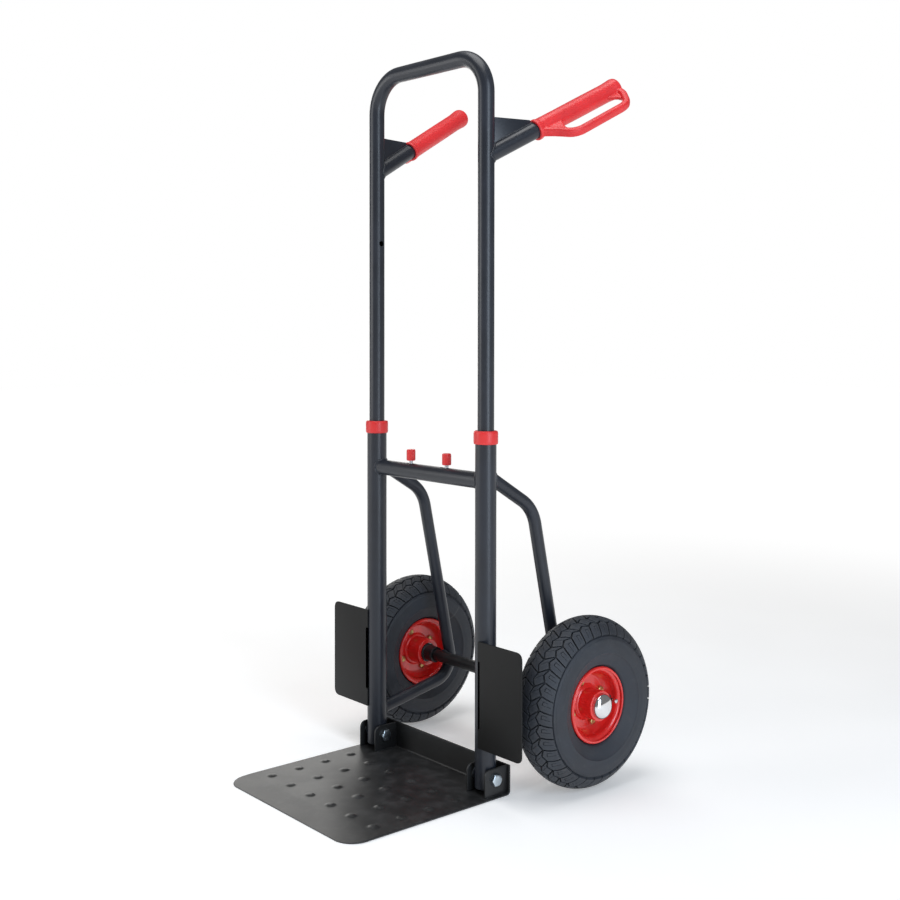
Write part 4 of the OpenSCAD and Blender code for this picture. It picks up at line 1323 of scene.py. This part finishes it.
    def build(self) -> None:
        """Makes the push frame's pieces."""
        for side in Side:
            n, shop = side.node, self.shop
            skins = [self.sleeve(), *self.guard()]
            shop.piece(n("grip_moulded"), skins, [n("grip")], side, crease=50, fuse=0.85)
            shop.piece(n("gusset_cut"), [self.gusset()], [n("gusset")], side)
            shop.piece(n("handle_welds"), self.welds(), [], side, "handle", "frame_black", crease=60)


def outline_area(outline: Array) -> float:
    """Returns a closed outline's area, negative where it runs clockwise."""
    x, y = outline[:, 0], outline[:, 1]
    return 0.5 * float(np.sum(x * np.roll(y, -1) - y * np.roll(x, -1)))


@dataclass
class Latches:
    """The two red lock buttons on the crossbar."""

    shop: Shop
    flutes: int = 12

    def button(self) -> Skin:
        """Moulds a button with shallow flutes: r (1 - 0.045 (1 - |cos 6t|)) between its edges."""
        low, high = box_mm("right_latch_button")
        r, tall = (high[0] - low[0]) / 2, high[2] - low[2]
        z = np.array([0, 0, 0.8, 2.4, 3.4, tall - 3.6, tall - 2.6, tall - 0.9, tall - 0.2, tall])
        radius = r * np.array([0, 0.88, 0.97, 1, 1, 1, 0.99, 0.93, 0.8, 0])
        cut = np.array([0, 0, 0, 0.3, 1, 1, 0.4, 0, 0, 0]) * 0.045
        turn = np.linspace(0, 2 * np.pi, 120, endpoint=False)[:, None]
        grip = radius * (1 - cut * (1 - np.abs(np.cos(turn * self.flutes / 2))))
        place = Place(((low[0] + high[0]) / 2, 0, low[2]))
        rows = np.stack([grip * np.cos(turn), grip * np.sin(turn), z + 0 * turn], -1)
        return woven(place.put(rows), round_rows=True)

    def build(self) -> None:
        """Makes the two buttons."""
        for side in Side:
            name = side.node("latch_button_fluted")
            self.shop.piece(name, [self.button()], [side.node("latch_button")], side)


# ---------------------------------------------------------------- the toe plate


@dataclass
class ToePlate:
    """The folding toe plate with its ears, hinge bolts, nuts and washers."""

    shop: Shop
    thick: float = 3.0
    corner_r: float = 32.0
    lip: float = 45.0
    lip_drop: float = 1.96
    bend_r: float = 4.5
    dimple_pitch: float = 51.0
    dimple_first_y: float = -58.0
    dimple_h: float = 1.8
    dimple_flat: float = 3.4
    dimple_wide: float = 8.6
    ear_r: float = 12.0
    ear_t: float = 3.0
    bolt_r: float = 5.0
    bolt_flats: float = 17.0
    head_h: float = 6.4
    nut_h: float = 8.0
    washer_t: float = 1.9

    def __post_init__(self) -> None:
        """Takes the plate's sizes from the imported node."""
        low, high = box_mm("toe_plate")
        self.half, self.front, self.back, self.high = high[0], low[1], high[1], high[2]
        ears_low, ears_high = box_mm("right_hinge_ears")
        self.ears = (ears_low, ears_high)
        self.pivot_x = (ears_low[0] + ears_high[0]) / 2
        bolts_low, bolts_high = box_mm("pivot_washers")
        self.pivot_z = (bolts_low[2] + bolts_high[2]) / 2

    def section(self) -> tuple[Array, Array, Array]:
        """Works out the plate's middle line from its front edge, round the bend and up the flange.

        Returns:
            The line's (y, z) points, its normals and half its thickness at each.
        """
        m, b, e = self.thick / 2, self.bend_r, 0.9
        rear = self.back - m
        t = np.linspace(0, np.pi / 2, 6)
        edge = self.front + e * (1 - np.cos(t))
        y = np.concatenate([edge, np.arange(self.front + 3, rear - b - 1, 1.95)])
        lip_end = self.front + self.lip
        thin = np.interp(y, [self.front, lip_end - 2, lip_end + 2], [self.lip_drop, 0.1, 0])
        half = m - thin / 2
        half[: len(t)] *= np.sin(t)
        half[0] = 0
        flat = np.stack([y, m - thin / 2], -1)
        a = np.linspace(-np.pi / 2, 0, 9)
        bend = np.array([rear - b, m + b]) + b * np.stack([np.cos(a), np.sin(a)], -1)
        top = self.high - e * (1 - np.cos(t[::-1]))
        z = np.concatenate([np.linspace(m + b + 2, self.high - 3, 14), top])
        wall = np.stack([np.full(len(z), rear), z], -1)
        line = np.concatenate([flat, bend, wall])
        normal = np.concatenate([
            np.broadcast_to([0.0, 1.0], flat.shape), -np.stack([np.cos(a), np.sin(a)], -1),
            np.broadcast_to([-1.0, 0.0], wall.shape),
        ])
        close = np.concatenate([np.full(len(z) - len(t), m), m * np.sin(t[::-1])])
        close[-1] = 0
        return line, normal, np.concatenate([half, np.full(len(bend), m), close])

    def dimples(self, x: Array, y: Array) -> Array:
        """Returns the pressed height at x, y: h s^2 (3 - 2s), s falling from 1 to 0 at the edge."""
        rows, columns = np.arange(4), np.arange(6) - 2.5
        dy = y[..., None] - (self.dimple_first_y - rows * self.dimple_pitch)
        dx = x[..., None] - columns * self.dimple_pitch
        far = np.hypot(np.abs(dx).min(-1), np.abs(dy).min(-1))
        s = np.clip((self.dimple_wide - far) / (self.dimple_wide - self.dimple_flat), 0, 1)
        return self.dimple_h * s * s * (3 - 2 * s)

    def plate(self) -> Skin:
        """Works out the pressed plate.

        Returns:
            Closed loops: across the top, round the edge, back across the underside and round the
            other edge, one for each point of the section. Half the width is
            W - r + sqrt(r^2 - (r - s)^2) at a distance s under r from the front edge.
        """
        line, normal, half = self.section()
        s = np.clip(line[:, 0] - self.front, 0, self.corner_r)
        w = self.half - self.corner_r + np.sqrt(np.maximum(self.corner_r**2 - (self.corner_r - s) ** 2, 0))
        e = 1.1
        t = np.linspace(np.pi / 2, -np.pi / 2, 8)[1:-1]
        u = np.linspace(-1, 1, 162)
        out = np.concatenate([u, np.ones(6), u[::-1], -np.ones(6)])
        over = np.concatenate([np.ones(162), np.sin(t), -np.ones(162), -np.sin(t)])
        bulge = np.concatenate([np.zeros(162), np.cos(t), np.zeros(162), -np.cos(t)])
        x = out[None] * (w - e)[:, None] + e * bulge[None]
        y = line[:, :1] + half[:, None] * over[None] * normal[:, :1]
        z = line[:, 1:] + half[:, None] * over[None] * normal[:, 1:]
        z = z + self.dimples(x, y) * (line[:, :1] < self.dimple_first_y + 12)
        return woven(np.stack([x, y, z], -1), round_columns=True)

    def ear_plates(self) -> list[Skin]:
        """Cuts the two ears at a foot, each rounded at the front of its top."""
        low, high = self.ears
        corners = np.array([[low[1], low[2]], [high[1], low[2]], [high[1], high[2]], [low[1], high[2]]])
        outline = soften(corners, np.array([0.8, 0.8, 1.5, self.ear_r]), 10, closed=True)
        starts = (low[0], high[0] - self.ear_t)
        return [plate(outline, self.ear_t, 0.7, Place((x, 0, 0), (1, 0, 0), (0, 1, 0))) for x in starts]

    def bolts(self) -> list[Skin]:
        """Forges the hinge bolts, their heads to the right of each foot."""
        skins = []
        reach = (self.ears[1][0] - self.ears[0][0]) / 2
        for x in (-self.pivot_x, self.pivot_x):
            head = Place((x + reach, 0, self.pivot_z), (1, 0, 0), (0, 0, 1))
            skins.append(hexagon(head, self.bolt_flats, self.head_h, 1.0))
            rod = Place((x - reach, 0, self.pivot_z), (-1, 0, 0), (0, 0, 1))
            skins.append(threaded(rod, self.bolt_r, -2 * reach, self.nut_h + 1, 1.5))
        return skins

    def nuts(self) -> list[Skin]:
        """Forges the hinge nuts."""
        reach = (self.ears[1][0] - self.ears[0][0]) / 2
        spots = [(x - reach, 0, self.pivot_z) for x in (-self.pivot_x, self.pivot_x)]
        return [hexagon(Place(p, (-1, 0, 0), (0, 0, 1)), self.bolt_flats, self.nut_h, 1.0) for p in spots]

    def welds(self) -> list[Skin]:
        """Lays the beads along the ears' feet."""
        low, high = self.ears
        skins = []
        for x in (low[0] - 0.2, high[0] + 0.2):
            run = np.linspace(low[1] + 3, high[1] - 6, 50)
            foot = np.stack([np.full(50, x), run, np.full(50, self.thick + 0.2)], -1)
            skins.append(bead(foot, np.array([1.0, 0, 0]), 1.0, closed=False))
        return skins

    def build(self) -> None:
        """Makes the toe plate's pieces."""
        shop = self.shop
        shop.piece("toe_plate_pressed", [self.plate()], ["toe_plate"], crease=50)
        shop.piece("pivot_bolts_forged", self.bolts(), ["pivot_bolts"])
        shop.piece("pivot_nuts_forged", self.nuts(), ["pivot_nuts"])
        for side in Side:
            n = side.node
            shop.piece(n("hinge_ears_cut"), self.ear_plates(), [n("hinge_ears")], side)
            shop.piece(n("ear_welds"), self.welds(), [], side, "toe_plate", "toe_black", crease=60)


# ---------------------------------------------------------------- the studio


@dataclass(frozen=True)
class SoftBox:
    """One soft light: where it stands, what it points at, its size, power and colour."""

    name: str
    place: tuple[float, float, float]
    aim: tuple[float, float, float]
    size: tuple[float, float]
    power: float
    colour: Colour = (1.0, 1.0, 1.0)
    shown: bool = True

    def build(self) -> None:
        """Hangs the light."""
        data = bpy.data.lights.new(self.name, "AREA")
        data.shape = "RECTANGLE"
        data.size, data.size_y = self.size
        data.energy = self.power
        data.color = self.colour
        lamp = bpy.data.objects.new(self.name, data)
        bpy.context.scene.collection.objects.link(lamp)
        lamp.location = self.place
        lamp.visible_camera = self.shown
        aim = np.array(self.aim) - np.array(self.place)
        flat = math.hypot(aim[0], aim[1])
        lamp.rotation_euler = (math.atan2(flat, -aim[2]), 0, math.atan2(-aim[0], aim[1]))


@dataclass
class Studio:
    """A plain pale floor, a camera at eye height and soft light."""

    eye: tuple[float, float, float] = (1.478, -1.273, 0.700)
    heading: float = 51.01
    dip: float = 0.995
    lens: float = 49.56
    shift: tuple[float, float] = (0.0658, -0.1122)
    sky: float = 0.2
    lights: tuple[SoftBox, ...] = (
        SoftBox("right_box", (2.3, -0.35, 1.0), (0, 0, 0.55), (0.9, 2.4), 38.0, (0.74, 0.86, 1.0)),
        SoftBox("left_box", (-1.2, -1.7, 1.0), (-0.1, 0, 0.3), (1.0, 1.2), 12.0),
        SoftBox("top_box", (0.1, -0.2, 2.8), (0, 0, 0.4), (1.6, 1.8), 32.0),
        SoftBox("plate_box", (-2.3, 1.0, 1.0), (-0.1, -0.2, 0), (1.5, 1.3), 15.0, (1.0, 0.99, 0.96), False),
    )

    def camera(self) -> None:
        """Stands the camera."""
        data = bpy.data.cameras.new("eye")
        data.lens, data.sensor_width = self.lens, 36.0
        data.shift_x, data.shift_y = self.shift
        data.clip_end = 100.0
        camera = bpy.data.objects.new("eye", data)
        bpy.context.scene.collection.objects.link(camera)
        camera.location = self.eye
        camera.rotation_euler = (math.radians(90 - self.dip), 0, math.radians(self.heading))
        bpy.context.scene.camera = camera

    def floor(self) -> None:
        """Lays the floor, wide and level, just under the toe plate and the tyres."""
        wide = np.linspace(-12000.0, 12000.0, 9)
        x, y = np.meshgrid(wide, wide, indexing="ij")
        skin = woven(np.stack([x, y, 0 * x - 0.3], -1))
        mesh = bpy.data.meshes.new("floor")
        mesh.from_pydata((skin.points * MM).tolist(), [], skin.quads.tolist())
        floor = bpy.data.objects.new("floor", mesh)
        mesh.materials.append(Floor().made())
        bpy.context.scene.collection.objects.link(floor)

    def build(self) -> None:
        """Sets up the camera, the floor, the sky and the lights."""
        self.camera()
        self.floor()
        world = bpy.data.worlds.new("studio")
        world.use_nodes = True
        nodes, links = world.node_tree.nodes, world.node_tree.links
        paper = nodes["Background"]
        room = nodes.new("ShaderNodeBackground")
        paper.inputs["Color"].default_value = room.inputs["Color"].default_value = (1.0, 1.0, 1.0, 1.0)
        paper.inputs["Strength"].default_value = 1.0
        room.inputs["Strength"].default_value = self.sky
        seen, both = nodes.new("ShaderNodeLightPath"), nodes.new("ShaderNodeMixShader")
        links.new(seen.outputs["Is Camera Ray"], both.inputs[0])
        links.new(room.outputs[0], both.inputs[1])
        links.new(paper.outputs[0], both.inputs[2])
        links.new(both.outputs[0], nodes["World Output"].inputs["Surface"])
        bpy.context.scene.world = world
        bpy.context.scene.view_settings.view_transform = "Standard"
        for light in self.lights:
            light.build()


def main() -> None:
    """Builds the studio and the truck's sub-assemblies."""
    logging.basicConfig(level=logging.INFO, format="%(name)s: %(message)s")
    Studio().build()
    shop = Shop()
    shop.dress()
    Chassis(shop).build()
    PushFrame(shop).build()
    Latches(shop).build()
    for side in Side:
        Wheel(side, shop).build()
    ToePlate(shop).build()


if __name__ == "__main__":
    main()
